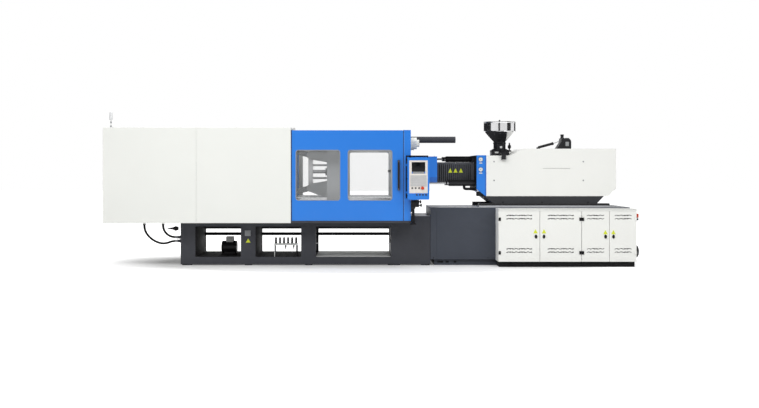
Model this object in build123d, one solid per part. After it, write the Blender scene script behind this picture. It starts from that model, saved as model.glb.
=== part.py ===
"""Injection moulding machine with a toggle clamp and a reciprocating screw.

X runs along the machine with the injection unit at +X, Y runs to its back and Z runs up from the
floor. The working datum is the mould face of the fixed platen on the machine axis. All sizes are
millimetres. The finished model is moved so that the middle of its footprint is at the origin.
"""

import os
from math import asin, atan2, cos, degrees, pi, radians, sin, sqrt, tan

from build123d import *

# Clearances
RUN_GAP = 0.3
FIT_GAP = 0.05

# Machine axis, base and platens
AXIS_Z = 1468
BASE_TOP = 678
FOOT_H = 16
FRAME_PAST_PLATEN = 15
COVER_HALF = 950
DAYLIGHT = 730
FIXED_T = 280
MOVING_T = 306
PLATEN_SIDE = 1170
PLATEN_CORNER = 60
TIE_INSET = 138
TIE_R = 55
NUT_R = 92
NUT_T = 100
TIE_TAIL = 140

# Base frame of the clamp
LEG_W = 230
BAY_LEFT = 714
BAY_MIDDLE = 715
BAY_RIGHT = 1177
SOLID_SECTION = 623
SECTION_BEFORE_FACE = 33
BEAM_T = 120
BEAM_LOW_H = 115
BEAM_TOP_H = 70
REAR_BEAM_H = 163
BAY_CORNER = 14
BASE_WALL = 20
STEP_H = 93
STEP_LENGTH = 306
SLIDEWAY_H = 22
SLIDEWAY_W = 100
FOOT_R = 60
FOOT_INSET = 90
TRAY_WALL = 6
TRAY_DROP = 330
TRAY_LIP = 40

# Toggle
CLEVIS_REACH = 264
REAR_LINK = 450
FRONT_LINK = 600
REAR_INSET = 65
FRONT_RISE = 260
FOLD_ANGLE = 120
SHORT_ARM = 340
SHORT_LINK = 300
HEAD_RISE = 150
TAIL_ARM = 570
TAIL_T = 200
PIN_R = 42
HEAD_PIN_R = 32
EYE_R = 60
SHORT_EYE_R = 45
LINK_WEB = 88
SHORT_WEB = 64
LAYER_GAP = 10
SHORT_LAYER = 85
LAYER_T = 55
NOSE_R = 60
CLEVIS_NOSE_R = 66
CLEVIS_ROOT_LOW = 150
CLEVIS_ROOT_HIGH = 430
HEAD_HALF_X = 60
HEAD_HALF_Y = 78
HEAD_TOP = 190
ARM_HALF_Z = 42
GUIDE_OFFSET = 330
GUIDE_R = 34
GUIDE_PAST_HEAD = 40
GUIDE_BOSS_R = 52

# Clamp cylinder
CYL_R = 150
CYL_BORE = 110
CYL_END = 60
CYL_FLANGE_R = 200
CYL_FLANGE_T = 40
PISTON_T = 90
PISTON_FRONT = 20
PISTON_BACK = 30
ROD_R = 55

# Ejector
EJECTOR_REACH = 244
EJECTOR_T = 70
EJECTOR_HALF_Y = 118
EJECTOR_HALF_Z = 205
EJECTOR_STROKE = 150
EJECTOR_ROD_R = 28
EJECTOR_FLANGE_R = 62
EJECTOR_FLANGE_T = 40
EJECTOR_BORE_DEPTH = 60
KNOCK_PIN_R = 16
KNOCK_PIN_Y = 85
KNOCK_PIN_Z = 104
KNOCK_SETBACK = 30
GUIDE_PIN_Z = 52
GUIDE_PIN_DEPTH = 40

# Mould fixing holes and the locating bore
BOLT_R = 10
BOLT_DEPTH = 45
BOLT_HALF_Y = 210
BOLT_HALF_Z = 350
BOLT_HALF_FAR = 280
ROBOT_HALF_X = 80
ROBOT_HALF_Y = 350
ROBOT_BOLT_R = 8.5
LOCATING_R = 80
LOCATING_DEPTH = 45
CONE_MOUTH_R = 190
CONE_THROAT_R = 62

# Safety bar
SAFETY_Y = -250
SAFETY_INSET = 76
SAFETY_R = 32
SAFETY_SLEEVE_R = 51
SAFETY_SLEEVE = 730
SLEEVE_END = 30
SAFETY_NOTCH_R = 25
SAFETY_NOTCH = 26
SAFETY_PITCH = 78
SAFETY_ROOT_R = 48
SAFETY_ROOT_T = 30

# Clamp covers, doors and guards
SHEET = 6
COVER_LENGTH = 2887
COVER_SEAM = 1454
SEAM_GAP = 2
COVER_OVER_PLATEN = 95
COVER_BEND = 12
FLANGE_IN = 8
VENT_COUNT = 5
VENT_LENGTH = 420
VENT_H = 14
VENT_PITCH = 46
DOOR_SETBACK = 15
DOOR_T = 40
DOOR_LENGTH = 1729
DOOR_PAST_FACE = 150
DOOR_BELOW_COVER = 43
DOOR_STROKE = 1400
WINDOW_W = 668
WINDOW_H = 762
WINDOW_FIRST = 82
WINDOW_PITCH = 802
WINDOW_COUNT = 2
WINDOW_SILL = 321
WINDOW_CORNER = 30
PANE_T = 8
PANE_LAP = 12
HANDLE_W = 34
HANDLE_ROUND = 8.5
HANDLE_H = 463
HANDLE_RISE = 470
HANDLE_FROM_EDGE = 88
HANDLE_STAND = 46
HANDLE_BAR_T = 20
HANDLE_FOOT_H = 40
TRACK_H = 28
TRACK_W = 62
GUIDE_H = 42
GUIDE_W = 20
GUIDE_BEHIND_DOOR = 2
DOOR_GUIDE_IN = 2
GUARD_W = 116
GUARD_OVER_DOOR = 4
GUARD_LAP = 0.5

# Signal lamp
LAMP_FROM_END = 103
LAMP_INSET = 100
LAMP_POLE_R = 9
LAMP_POLE_H = 119
LAMP_R = 25
LAMP_H = 117
LAMP_CAP_H = 12
LAMP_KNOT_R = 17
LAMP_KNOT_H = 16
LAMP_KNOT_PITCH = 62
LAMP_KNOTS = 2

# Operator panel
PANEL_LEFT = -91
PANEL_W = 332
PANEL_LOW = 1042
PANEL_H = 642
PANEL_T = 88
PANEL_GAP = 60
PANEL_CORNER = 16
SCREEN_CORNER = 4
FASCIA_SIDE = 24
FASCIA_TOP = 42
FASCIA_H = 520
FASCIA_DEPTH = 6
SCREEN_W = 206
SCREEN_H = 176
SCREEN_TOP = 28
SCREEN_DEPTH = 3
POST_X = 300
POST_R = 19
POST_PLATE_T = 24
POST_PLATE_H = 108
POST_PLATE_DEPTH = 150
POST_ARM_H = 54
POST_DROP = 86
KNUCKLE_R = 34
KNUCKLE_H = 46
CONDUIT_FOOT_R = 31
CONDUIT_FOOT_H = 26
BUTTON_R = 13
BUTTON_T = 12
BUTTON_BORE_DEPTH = 24
BUTTON_TRAVEL = 4
BUTTON_PITCH = 52
BUTTON_FIRST = 72
BUTTON_RISE = 176
BUTTON_COUNT = 3
STOP_R = 25
STOP_STEM_R = 13
STOP_STAND = 12
STOP_EDGE = 4
STOP_TRAVEL = 5
KEY_COUNT = 4
KEY_R = 11
KEY_T = 9
KEY_RISE = 74
KEY_PITCH = 47
KEY_FIRST = 140

# Injection base, rails and cabinet
BASE_JOINT = 0.5
INJECTION_LENGTH = 3127
INJECTION_TOP = 906
PLINTH_H = 93
PLINTH_INSET = 60
COLUMN_W = 93
COLUMN_STAND = 8
RAIL_H = 62
RAIL_W = 120
RAIL_HALF = 520
RAIL_LENGTH = 2063
RAIL_FROM_END = 299
RAIL_CORNER = 10
CABINET_LENGTH = 2125
CABINET_PAST_END = 19
CABINET_LOW = 85
CABINET_TOP = 895
CABINET_WALL = 20
CABINET_KICK = 40
CABINET_DOOR_T = 22
CABINET_LINTEL = 31
CABINET_DOOR_GAP = 6
DOOR_SHARES = (636, 642, 426, 421)
LOUVRE_RISES = (702, 651, 189, 138)
LOUVRE_W = 34
LOUVRE_H = 9
LOUVRE_PITCH = 42
LOUVRE_SIDE = 110
CABINET_HINGE_R = 16
HINGE_RELIEF = 2
CABINET_HINGE_H = 46
CABINET_HINGE_LOW = 138
CABINET_HINGE_HIGH = 653
LOCK_W = 40
LOCK_H = 58
LOCK_T = 14
LOCK_RISE = 386
LOCK_FROM_EDGE = 48
PANEL_PLATE_T = 5
PANEL_PLATE_INSET = 60
UNIT_ROWS = 2
UNIT_COLUMNS = 7
UNIT_W = 150
UNIT_H = 210
UNIT_T = 110
SWITCH_R = 34
SWITCH_GRIP = 8.5
SWITCH_T = 32
SWITCH_STEM_R = 9
SWITCH_STEM_DEPTH = 14
SWITCH_RISE = 700
SWITCH_FROM_FRONT = 120
COWL_R = 102
COWL_T = 69
COWL_RISE = 147
COWL_FROM_FRONT = 150

# Injection unit
NOZZLE_SETBACK = 235
NOZZLE_FORWARD = 225
CARRIAGE_BACK = 190
NOZZLE_TIP_R = 16
NOZZLE_NECK_R = 34
NOZZLE_L = 110
NOZZLE_TIP_L = 55
NOZZLE_HOLE_R = 6
ADAPTER_R = 78
ADAPTER_L = 70
BARREL_R = 95
BARREL_BORE = 38
BAND_R = 112
BAND_L = 150
BAND_PITCH = 175
BAND_COUNT = 5
BARREL_TAIL = 60
FRONT_PLATE_X = 1321
FRONT_PLATE_T = 153
FRONT_PLATE_LOW = 384
FRONT_PLATE_HIGH = 259
FRONT_PLATE_CUT_H = 110
FRONT_PLATE_CUT_W = 140
CARRIAGE_HALF = 520
SLED_H = 114
SLED_TOP_LENGTH = 1891
SLED_FOOT_BACK = 151
SLED_FOOT_FRONT = 110
SLED_PAST_PLATE = 117
PEDESTAL_X = 309
PEDESTAL_L = 260
PEDESTAL_HALF = 300
PEDESTAL_TOP = 240
TAIL_PLATE_BACK = 40
TAIL_PLATE_T = 60
COVER_RUN = 2044
COVER_LOW = 386
COVER_STEP = 254
COVER_HIGH = 362
COVER_STEP_X = 389
COVER_SLOPE_X = 181
COVER_CHAMFER = 120
SLOT_HALF = 62
SLOT_BACK = 340
SLOT_FRONT = 12
THROAT_R = 70
THROAT_STEP = 3
RAM_X = 2659
RAM_T = 235
RAM_HALF = 300
RAM_HALF_Z = 190
RAM_STROKE = 300
INJECTION_CYL_Y = 225
INJECTION_CYL_R = 72
INJECTION_CYL_L = 500
INJECTION_ROD_R = 34
SCREW_GAP = 3
SCREW_TIP_L = 60
SCREW_R = 37.95
SCREW_ROOT_R = 27
FLIGHT_L = 20
FLIGHT_PITCH = 110
SHANK_R = 30
MOTOR_HALF_Y = 105
MOTOR_GAP = 6
MOTOR_H = 171
MOTOR_SHOULDER = 60
MOTOR_SLOPE_X = 76
MOTOR_SLOPE_H = 118
MOTOR_NECK_HALF = 50
MOTOR_STUB_R = 25
MOTOR_STUB_H = 64
MOTOR_STUB_INSET = 5
HEAT_COVER_L = 599
HEAT_COVER_LOW = 181
HEAT_COVER_HIGH = 150
HEAT_COVER_HALF = 165
HEAT_COVER_WALL = 5
HEAT_SLOT_W = 12
HEAT_SLOT_PITCH = 33
HEAT_SLOT_MARGIN = 34
TRAVERSE_Y = 300
TRAVERSE_LOW = -181
TRAVERSE_HIGH = 203
TRAVERSE_R = 49
TRAVERSE_L = 417
TRAVERSE_ROD_R = 16
TRAVERSE_REACH = 1160
TRAVERSE_PLATE_BORE = 80
GLAND_R = 36
GLAND_L = 71
ROD_FLANGE_R = 40
ROD_FLANGE_T = 22
NOZZLE_GUARD_L = 428
NOZZLE_GUARD_FRONT = 400
NOZZLE_GUARD_BACK = 200
NOZZLE_GUARD_LOW = 171
NOZZLE_GUARD_HIGH = 241
GUARD_POST_R = 7
GUARD_KNUCKLE_R = 13
GUARD_POST_INSET = 16

# Hopper
HOPPER_X = 428
HOPPER_R = 258
HOPPER_TOP = 802
HOPPER_SHOULDER = 646
HOPPER_NECK = 473
HOPPER_NECK_R = 88
HOPPER_WALL = 4
HOPPER_BLOCK_TOP = 347
HOPPER_BLOCK_BASE = 278
HOPPER_BLOCK_HALF = 140
HOPPER_NECK_WALL = 18
CHUTE_W = 66
CHUTE_T = 30
CHUTE_REACH = 590
CHUTE_DROP = 118
CHUTE_LEG_T = 56
CHUTE_LEFT = 38
VALVE_REACH = 48
VALVE_T = 24
VALVE_HALF = 30
LID_T = 5
LID_KNOB_R = 20
LID_KNOB_H = 30
LID_HINGE_R = 9
LID_HINGE_H = 36
LID_HINGE_L = 90

# Services under the clamp
PUMP_FOOT_X = 363
PUMP_L = 222
PUMP_LOW = 130
PUMP_R = 108
PUMP_BOX_L = 116
PUMP_BOX_H = 68
PUMP_FOOT = 24
MANIFOLD_X = 291
MANIFOLD_L = 369
MANIFOLD_Z = 325
MANIFOLD_H = 32
MANIFOLD_Y = 60
MANIFOLD_LEG_W = 26
STUB_COUNT = 6
STUB_R = 12
STUB_H = 97
PIPE_INSET = 145
PIPE_Z = 433
PIPE_R = 20
HOSE_R = 17.5
HOSE_ARC = 0.45
FITTING_R = 22
FITTING_L = 30
BULKHEAD_R = 27
BULKHEAD_T = 14
SHELF_T = 12
LONG_HOSE = (
    (-3893, -625, 648),
    (-3893, -625, 580),
    (-3862, -620, 500),
    (-3803, -610, 428),
    (-3722, -597, 372),
    (-3632, -583, 340),
    (-3545, -573, 345),
    (-3460, -568, 380),
    (-3373, -568, 380),
)
SHORT_HOSE = (
    (-3600, -625, 648),
    (-3600, -625, 590),
    (-3571, -618, 521),
    (-3518, -600, 468),
    (-3449, -580, 439),
    (-3373, -580, 439),
)

# Places worked out from the sizes above
platen_half = PLATEN_SIDE / 2
frame_half = platen_half + FRAME_PAST_PLATEN
tie_offset = platen_half - TIE_INSET
rear_rise = platen_half - REAR_INSET
safety_rise = platen_half - SAFETY_INSET
pipe_y = frame_half - PIPE_INSET
half_frame_inner = frame_half - BEAM_T
moving_face = -DAYLIGHT
moving_back = moving_face - MOVING_T
front_pivot_x = moving_back - CLEVIS_REACH
toggle_length = REAR_LINK + FRONT_LINK
closed_angle = asin((rear_rise - FRONT_RISE) / toggle_length)
fold_angle = radians(FOLD_ANGLE)
pivot_run = toggle_length * cos(closed_angle)
rear_pivot_x = front_pivot_x - pivot_run
folded_elbow_rise = rear_rise - REAR_LINK * sin(fold_angle)
folded_front_run = sqrt(FRONT_LINK**2 - (FRONT_RISE - folded_elbow_rise) ** 2)
folded_run = REAR_LINK * cos(fold_angle) + folded_front_run
open_stroke = pivot_run - folded_run
elbow_x = rear_pivot_x + REAR_LINK * cos(closed_angle)
elbow_rise = rear_rise - REAR_LINK * sin(closed_angle)
short_x = rear_pivot_x + SHORT_ARM * cos(closed_angle)
short_rise = rear_rise - SHORT_ARM * sin(closed_angle)
short_run = sqrt(SHORT_LINK**2 - (short_rise - HEAD_RISE) ** 2)
head_x = short_x + short_run
folded_short_x = rear_pivot_x + SHORT_ARM * cos(fold_angle)
folded_short_rise = rear_rise - SHORT_ARM * sin(fold_angle)
folded_short_run = sqrt(SHORT_LINK**2 - (folded_short_rise - HEAD_RISE) ** 2)
head_stroke = head_x - (folded_short_x - folded_short_run)
rear_link_turn = FOLD_ANGLE - degrees(closed_angle)
front_link_turn = degrees(closed_angle) + degrees(asin((FRONT_RISE - folded_elbow_rise) / FRONT_LINK))
short_closed = degrees(atan2(short_rise - HEAD_RISE, -short_run))
short_folded = degrees(atan2(folded_short_rise - HEAD_RISE, folded_short_run))
short_link_turn = short_closed - short_folded
rear_layer = SHORT_LAYER + LAYER_T + LAYER_GAP
front_layer = rear_layer + LAYER_T + LAYER_GAP
outer_layer = front_layer + LAYER_T + LAYER_GAP
pin_half = front_layer + LAYER_T
clevis_pin_half = outer_layer + LAYER_T
tail_front = rear_pivot_x - TAIL_ARM
tail_back = tail_front - TAIL_T
base_right = SOLID_SECTION - SECTION_BEFORE_FACE
section_left = -SECTION_BEFORE_FACE
leg_three_left = section_left - BAY_RIGHT - LEG_W
leg_two_left = leg_three_left - BAY_MIDDLE - LEG_W
base_left = leg_two_left - BAY_LEFT - LEG_W
bays = (
    (base_left + LEG_W, leg_two_left),
    (leg_two_left + LEG_W, leg_three_left),
    (leg_three_left + LEG_W, section_left),
)
platen_low = AXIS_Z - PLATEN_SIDE / 2
slideway_top = BASE_TOP + SLIDEWAY_H
safety_z = AXIS_Z + safety_rise
door_right = DOOR_PAST_FACE
door_left = door_right - DOOR_LENGTH
door_face = COVER_HALF - DOOR_SETBACK
door_back = door_face - DOOR_T
guard_right = door_right + GUARD_W
cover_right = door_left
cover_left = cover_right - COVER_LENGTH
cover_top = AXIS_Z + platen_half + COVER_OVER_PLATEN
track_top = BASE_TOP + SHEET + TRACK_H
door_low = track_top + RUN_GAP
door_top = cover_top - DOOR_BELOW_COVER
guide_face = door_back - GUIDE_BEHIND_DOOR
injection_left = base_right + BASE_JOINT
injection_right = injection_left + INJECTION_LENGTH
rail_top = INJECTION_TOP + RAIL_H
rail_left = injection_right - RAIL_FROM_END - RAIL_LENGTH
cabinet_right = injection_right + CABINET_PAST_END
cabinet_left = cabinet_right - CABINET_LENGTH
cabinet_face = COVER_HALF - CABINET_DOOR_T - RUN_GAP
cabinet_back = frame_half + RUN_GAP
panel_x0 = POST_X + PANEL_LEFT
panel_x1 = panel_x0 + PANEL_W
panel_back = -COVER_HALF - PANEL_GAP
panel_front = panel_back - PANEL_T
post_y = panel_back + POST_R + SHEET
button_z = PANEL_LOW + BUTTON_RISE
stop_x = panel_x0 + BUTTON_FIRST + BUTTON_COUNT * BUTTON_PITCH
front_plate_end = FRONT_PLATE_X + FRONT_PLATE_T
sled_low = rail_top + RUN_GAP
sled_top = rail_top + SLED_H
sled_left = FRONT_PLATE_X + SLED_PAST_PLATE
sled_right = sled_left + SLED_TOP_LENGTH
barrel_start = NOZZLE_SETBACK + NOZZLE_L + ADAPTER_L
pedestal_left = FRONT_PLATE_X + PEDESTAL_X
pedestal_right = pedestal_left + PEDESTAL_L
barrel_end = pedestal_right + BARREL_TAIL
hopper_x = FRONT_PLATE_X + HOPPER_X
lid_axis_y = HOPPER_R + LID_HINGE_R
lid_axis_z = AXIS_Z + HOPPER_TOP - LID_HINGE_R

# The middle of the footprint, which becomes the origin
right_end = cabinet_right + COWL_T
middle_x = (cover_left + right_end) / 2
middle_y = (panel_front + FASCIA_DEPTH - 2 * STOP_STAND + COVER_HALF) / 2


def block(x0, x1, y0, y1, z0, z1):
    """A box between two corners."""
    centre = Pos((x0 + x1) / 2, (y0 + y1) / 2, (z0 + z1) / 2)
    return centre * Box(x1 - x0, y1 - y0, z1 - z0)


def group(pieces):
    """Separate solids that share one node."""
    return Compound([solid for piece in pieces for solid in piece.solids()])


def rod_x(x0, x1, y, z, radius):
    return Pos((x0 + x1) / 2, y, z) * Rot(0, 90, 0) * Cylinder(radius, x1 - x0)


def rod_y(x, y0, y1, z, radius):
    return Pos(x, (y0 + y1) / 2, z) * Rot(90, 0, 0) * Cylinder(radius, y1 - y0)


def rod_z(x, y, z0, z1, radius):
    return Pos(x, y, (z0 + z1) / 2) * Cylinder(radius, z1 - z0)


def facing_y(x, y, z):
    """A sketch plane across Y with X to the right and Z up, pushed towards -Y by extrude."""
    return Plane(origin=(x, y, z), x_dir=(1, 0, 0), z_dir=(0, -1, 0))


def facing_x(x, y, z):
    """A sketch plane across X with Y to the right and Z up."""
    return Plane(origin=(x, y, z), x_dir=(0, 1, 0), z_dir=(1, 0, 0))


def window(x0, x1, y0, y1, z0, z1, radius):
    """A block seen along Y as a rectangle with round corners."""
    outline = facing_y((x0 + x1) / 2, y1, (z0 + z1) / 2) * RectangleRounded(x1 - x0, z1 - z0, radius)
    return extrude(outline, amount=y1 - y0)


def profile_y(points, y0, y1):
    """A flat outline of x and z points, y0 to y1 thick."""
    return extrude(facing_y(0, y1, 0) * Polygon(*points, align=None), amount=y1 - y0, dir=(0, -1, 0))


def profile_x(points, x0, x1):
    """A flat outline of y and z points, x0 to x1 thick."""
    return extrude(facing_x(x0, 0, 0) * Polygon(*points, align=None), amount=x1 - x0, dir=(1, 0, 0))


def both_sides(shape):
    """The shape and its mirror image across the middle plane of the machine."""
    return shape + mirror(shape, about=Plane.XZ)


def above_and_below(shape):
    """The shape and its mirror image across the level of the machine axis."""
    return shape + mirror(shape, about=Plane(origin=(0, 0, AXIS_Z), z_dir=(0, 0, 1)))


def tie_places():
    return [(y, AXIS_Z + z) for y in (-tie_offset, tie_offset) for z in (-tie_offset, tie_offset)]


def clamp_base_frame():
    """Welded side frames with three bays, cross beams, a closed section at +X and slideways on top."""
    low = FOOT_H + BEAM_LOW_H
    side = block(base_left, base_right, -frame_half, -half_frame_inner, FOOT_H, BASE_TOP)
    rear = block(base_left, base_right, half_frame_inner, frame_half, FOOT_H, BASE_TOP)
    for x0, x1 in bays:
        side -= window(x0, x1, -frame_half, -half_frame_inner, low, BASE_TOP - BEAM_TOP_H, BAY_CORNER)
        rear -= window(x0, x1, half_frame_inner, frame_half, low, BASE_TOP - REAR_BEAM_H, BAY_CORNER)
    frame = side + rear
    for x0 in (base_left, leg_two_left, leg_three_left):
        x1 = x0 + LEG_W
        frame += block(x0, x1, -half_frame_inner, half_frame_inner, FOOT_H, low)
        frame += block(x0, x1, -half_frame_inner, half_frame_inner, BASE_TOP - BEAM_TOP_H, BASE_TOP)
    frame += block(section_left, base_right, -half_frame_inner, half_frame_inner, FOOT_H, BASE_TOP)
    frame -= block(
        section_left + BASE_WALL, base_right - BASE_WALL, -half_frame_inner, half_frame_inner,
        FOOT_H, BASE_TOP - BASE_WALL,
    )
    frame += block(base_right - STEP_LENGTH, base_right, -frame_half, frame_half,
                   BASE_TOP, BASE_TOP + STEP_H)
    frame += block(bays[0][0], bays[0][1], -half_frame_inner, half_frame_inner, low - SHELF_T, low)
    way_left = moving_back - open_stroke - EYE_R
    way_right = moving_face + EYE_R
    way_outer = platen_half
    way = block(way_left, way_right, -way_outer, -way_outer + SLIDEWAY_W, BASE_TOP, slideway_top)
    frame += both_sides(way)
    for y, z in fitting_places():
        frame += rod_x(base_left - BULKHEAD_T, base_left, y, z, BULKHEAD_R)
        frame += rod_x(base_left - BULKHEAD_T - FITTING_L, base_left, y, z, FITTING_R)
    for pad in levelling_feet():
        frame += pad
    return frame


def levelling_feet():
    """Round pads under the legs and the closed section."""
    feet = []
    middles = [x0 + LEG_W / 2 for x0 in (base_left, leg_two_left, leg_three_left)]
    middles += [section_left + FOOT_INSET, base_right - FOOT_INSET]
    for x in middles:
        for y in (-frame_half + FOOT_R, frame_half - FOOT_R):
            feet.append(rod_z(x, y, 0, FOOT_H, FOOT_R))
    return feet


def discharge_tray():
    """A sheet metal tray hung in the right bay, where the parts fall."""
    x0 = bays[2][0] - TRAY_LIP
    x1 = bays[2][1] - RUN_GAP
    y0 = -pipe_y + PIPE_R + TRAY_WALL
    z1 = BASE_TOP - BEAM_TOP_H
    tray = block(x0, x1, y0, -y0, z1 - TRAY_DROP, z1)
    tray -= block(
        x0 + TRAY_WALL, x1 - TRAY_WALL, y0 + TRAY_WALL, -y0 - TRAY_WALL, z1 - TRAY_DROP + TRAY_WALL, z1
    )
    front_low = z1 - TRAY_DROP + TRAY_LIP
    tray -= block(x0 + TRAY_WALL, x1 - TRAY_WALL, y0, y0 + TRAY_WALL, front_low, z1)
    return tray


def bolt_holes(face_x, depth, direction):
    """Two rectangles of tapped holes for the mould's clamps, seen from the mould face."""
    holes = []
    for half_y, half_z in ((BOLT_HALF_Y, BOLT_HALF_Z), (BOLT_HALF_Z, BOLT_HALF_FAR)):
        for y in (-half_y, half_y):
            for z in (-half_z, half_z):
                ends = sorted((face_x, face_x + direction * depth))
                holes.append(rod_x(ends[0], ends[1], y, AXIS_Z + z, BOLT_R))
    return holes


def platen_plate(x0, x1):
    """A square plate with round corners and four bores for the tie bars."""
    outline = facing_x(x0, 0, AXIS_Z) * RectangleRounded(PLATEN_SIDE, PLATEN_SIDE, PLATEN_CORNER)
    plate = extrude(outline, amount=x1 - x0)
    for y, z in tie_places():
        plate -= rod_x(x0, x1, y, z, TIE_R + RUN_GAP)
    return plate


def platen_feet(x0, x1, low):
    """Two feet that carry a platen on the side frames."""
    top = platen_low + PLATEN_CORNER
    foot = block(x0, x1, -platen_half, -platen_half + SLIDEWAY_W, low, top)
    return both_sides(foot)


def fixed_platen():
    """The platen that takes the nozzle side of the mould, with the locating bore and nozzle cone."""
    plate = platen_plate(0, FIXED_T) + platen_feet(0, FIXED_T, BASE_TOP)
    plate -= rod_x(0, LOCATING_DEPTH, 0, AXIS_Z, LOCATING_R)
    cone_run = FIXED_T - LOCATING_DEPTH
    cone = Cone(CONE_THROAT_R, CONE_MOUTH_R, cone_run)
    plate -= Pos(LOCATING_DEPTH + cone_run / 2, 0, AXIS_Z) * Rot(0, 90, 0) * cone
    for hole in bolt_holes(0, BOLT_DEPTH, 1):
        plate -= hole
    plate -= rod_x(0, FIXED_T, SAFETY_Y, safety_z, SAFETY_R + RUN_GAP)
    top = AXIS_Z + platen_half
    for x in (-ROBOT_HALF_X, ROBOT_HALF_X):
        for y in (-ROBOT_HALF_Y, ROBOT_HALF_Y):
            plate -= rod_z(FIXED_T / 2 + x, y, top - BOLT_DEPTH, top, ROBOT_BOLT_R)
    return plate


def moving_platen():
    """The platen that takes the ejector side of the mould, with clevises for the front links."""
    plate = platen_plate(moving_back, moving_face)
    plate += platen_feet(moving_back, moving_face, slideway_top + RUN_GAP)
    ribs = []
    for y0 in (rear_layer, outer_layer):
        root = [
            (moving_back, AXIS_Z + CLEVIS_ROOT_LOW),
            (moving_back, AXIS_Z + CLEVIS_ROOT_HIGH),
            (front_pivot_x, AXIS_Z + FRONT_RISE + CLEVIS_NOSE_R),
            (front_pivot_x, AXIS_Z + FRONT_RISE - CLEVIS_NOSE_R),
        ]
        rib = profile_y(root, y0, y0 + LAYER_T)
        rib += rod_y(front_pivot_x, y0, y0 + LAYER_T, AXIS_Z + FRONT_RISE, CLEVIS_NOSE_R)
        ribs.append(rib)
    clevis = ribs[0] + ribs[1]
    clevis = both_sides(clevis)
    clevis += rod_y(front_pivot_x, -clevis_pin_half, clevis_pin_half, AXIS_Z + FRONT_RISE, PIN_R)
    plate += above_and_below(clevis)
    plate += rod_x(moving_back - EJECTOR_FLANGE_T, moving_back, 0, AXIS_Z, EJECTOR_FLANGE_R)
    bore_end = moving_back + EJECTOR_BORE_DEPTH + EJECTOR_STROKE
    plate -= rod_x(moving_back - EJECTOR_FLANGE_T, bore_end, 0, AXIS_Z, EJECTOR_ROD_R + RUN_GAP)
    for y in (-KNOCK_PIN_Y, KNOCK_PIN_Y):
        for z in (-KNOCK_PIN_Z, KNOCK_PIN_Z):
            plate -= rod_x(moving_back, moving_face, y, AXIS_Z + z, KNOCK_PIN_R + RUN_GAP)
    for hole in bolt_holes(moving_face, BOLT_DEPTH, -1):
        plate -= hole
    return plate


def ejector_plate():
    """The ejector plate with its ram and four knock-out pins, which run through the moving platen."""
    x0 = moving_back - EJECTOR_REACH - EJECTOR_T
    x1 = moving_back - EJECTOR_REACH
    plate = window(
        x0, x1, -EJECTOR_HALF_Y, EJECTOR_HALF_Y,
        AXIS_Z - EJECTOR_HALF_Z, AXIS_Z + EJECTOR_HALF_Z, BAY_CORNER,
    )
    plate += rod_x(x1, moving_back + EJECTOR_BORE_DEPTH, 0, AXIS_Z, EJECTOR_ROD_R)
    for y in (-KNOCK_PIN_Y, KNOCK_PIN_Y):
        for z in (-KNOCK_PIN_Z, KNOCK_PIN_Z):
            plate += rod_x(x1, moving_face - KNOCK_SETBACK, y, AXIS_Z + z, KNOCK_PIN_R)
    return plate


def tailstock_platen():
    """The end platen with long arms that hold the rear pivots, and rods that guide the crosshead."""
    plate = platen_plate(tail_back, tail_front) + platen_feet(tail_back, tail_front, BASE_TOP)
    arms = []
    for y0 in (SHORT_LAYER, front_layer):
        arm = block(
            tail_front, rear_pivot_x, y0, y0 + LAYER_T,
            AXIS_Z + rear_rise - NOSE_R, AXIS_Z + rear_rise + NOSE_R,
        )
        arm += rod_y(rear_pivot_x, y0, y0 + LAYER_T, AXIS_Z + rear_rise, NOSE_R)
        arms.append(arm)
    clevis = both_sides(arms[0] + arms[1])
    clevis += rod_y(rear_pivot_x, -pin_half, pin_half, AXIS_Z + rear_rise, PIN_R)
    plate += above_and_below(clevis)
    guide_end = head_x + HEAD_HALF_X + GUIDE_PAST_HEAD
    guide = rod_x(tail_front, guide_end, GUIDE_OFFSET, AXIS_Z, GUIDE_R)
    plate += both_sides(guide)
    plate -= rod_x(tail_back, tail_front, 0, AXIS_Z, ROD_R + RUN_GAP)
    return plate


def tie_bars():
    """Four bars that hold the platens together."""
    x0 = tail_back - TIE_TAIL
    x1 = FIXED_T + TIE_TAIL
    bars = [rod_x(x0, x1, y, z, TIE_R) for y, z in tie_places()]
    return group(bars)


def tie_bar_nuts():
    """A round nut on each end of each tie bar."""
    nuts = []
    for y, z in tie_places():
        for x0 in (tail_back - NUT_T, FIXED_T):
            nut = rod_x(x0, x0 + NUT_T, y, z, NUT_R) - rod_x(x0, x0 + NUT_T, y, z, TIE_R + RUN_GAP)
            nuts.append(nut)
    return group(nuts)


def link_bar(x0, z0, x1, z1, y0, width, eye_r):
    """A link with a round eye at each end, lying in one layer of the toggle."""
    length = sqrt((x1 - x0) ** 2 + (z1 - z0) ** 2)
    tilt = degrees(atan2(z1 - z0, x1 - x0))
    centre = Pos((x0 + x1) / 2, y0 + LAYER_T / 2, (z0 + z1) / 2)
    web = centre * Rot(0, -tilt, 0) * Box(length, LAYER_T, width)
    bar = web + rod_y(x0, y0, y0 + LAYER_T, z0, eye_r) + rod_y(x1, y0, y0 + LAYER_T, z1, eye_r)
    return bar


def rear_links():
    """The pair of links on the upper rear pivot, each with its elbow pin."""
    z0 = AXIS_Z + rear_rise
    z1 = AXIS_Z + elbow_rise
    bar = link_bar(rear_pivot_x, z0, elbow_x, z1, rear_layer, LINK_WEB, EYE_R)
    bar -= rod_y(rear_pivot_x, rear_layer, rear_layer + LAYER_T, z0, PIN_R + RUN_GAP)
    pin_end = rear_layer + LAYER_T + LAYER_GAP / 2
    bar += rod_y(elbow_x, rear_layer, pin_end, z1, PIN_R)
    return both_sides(bar)


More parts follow.
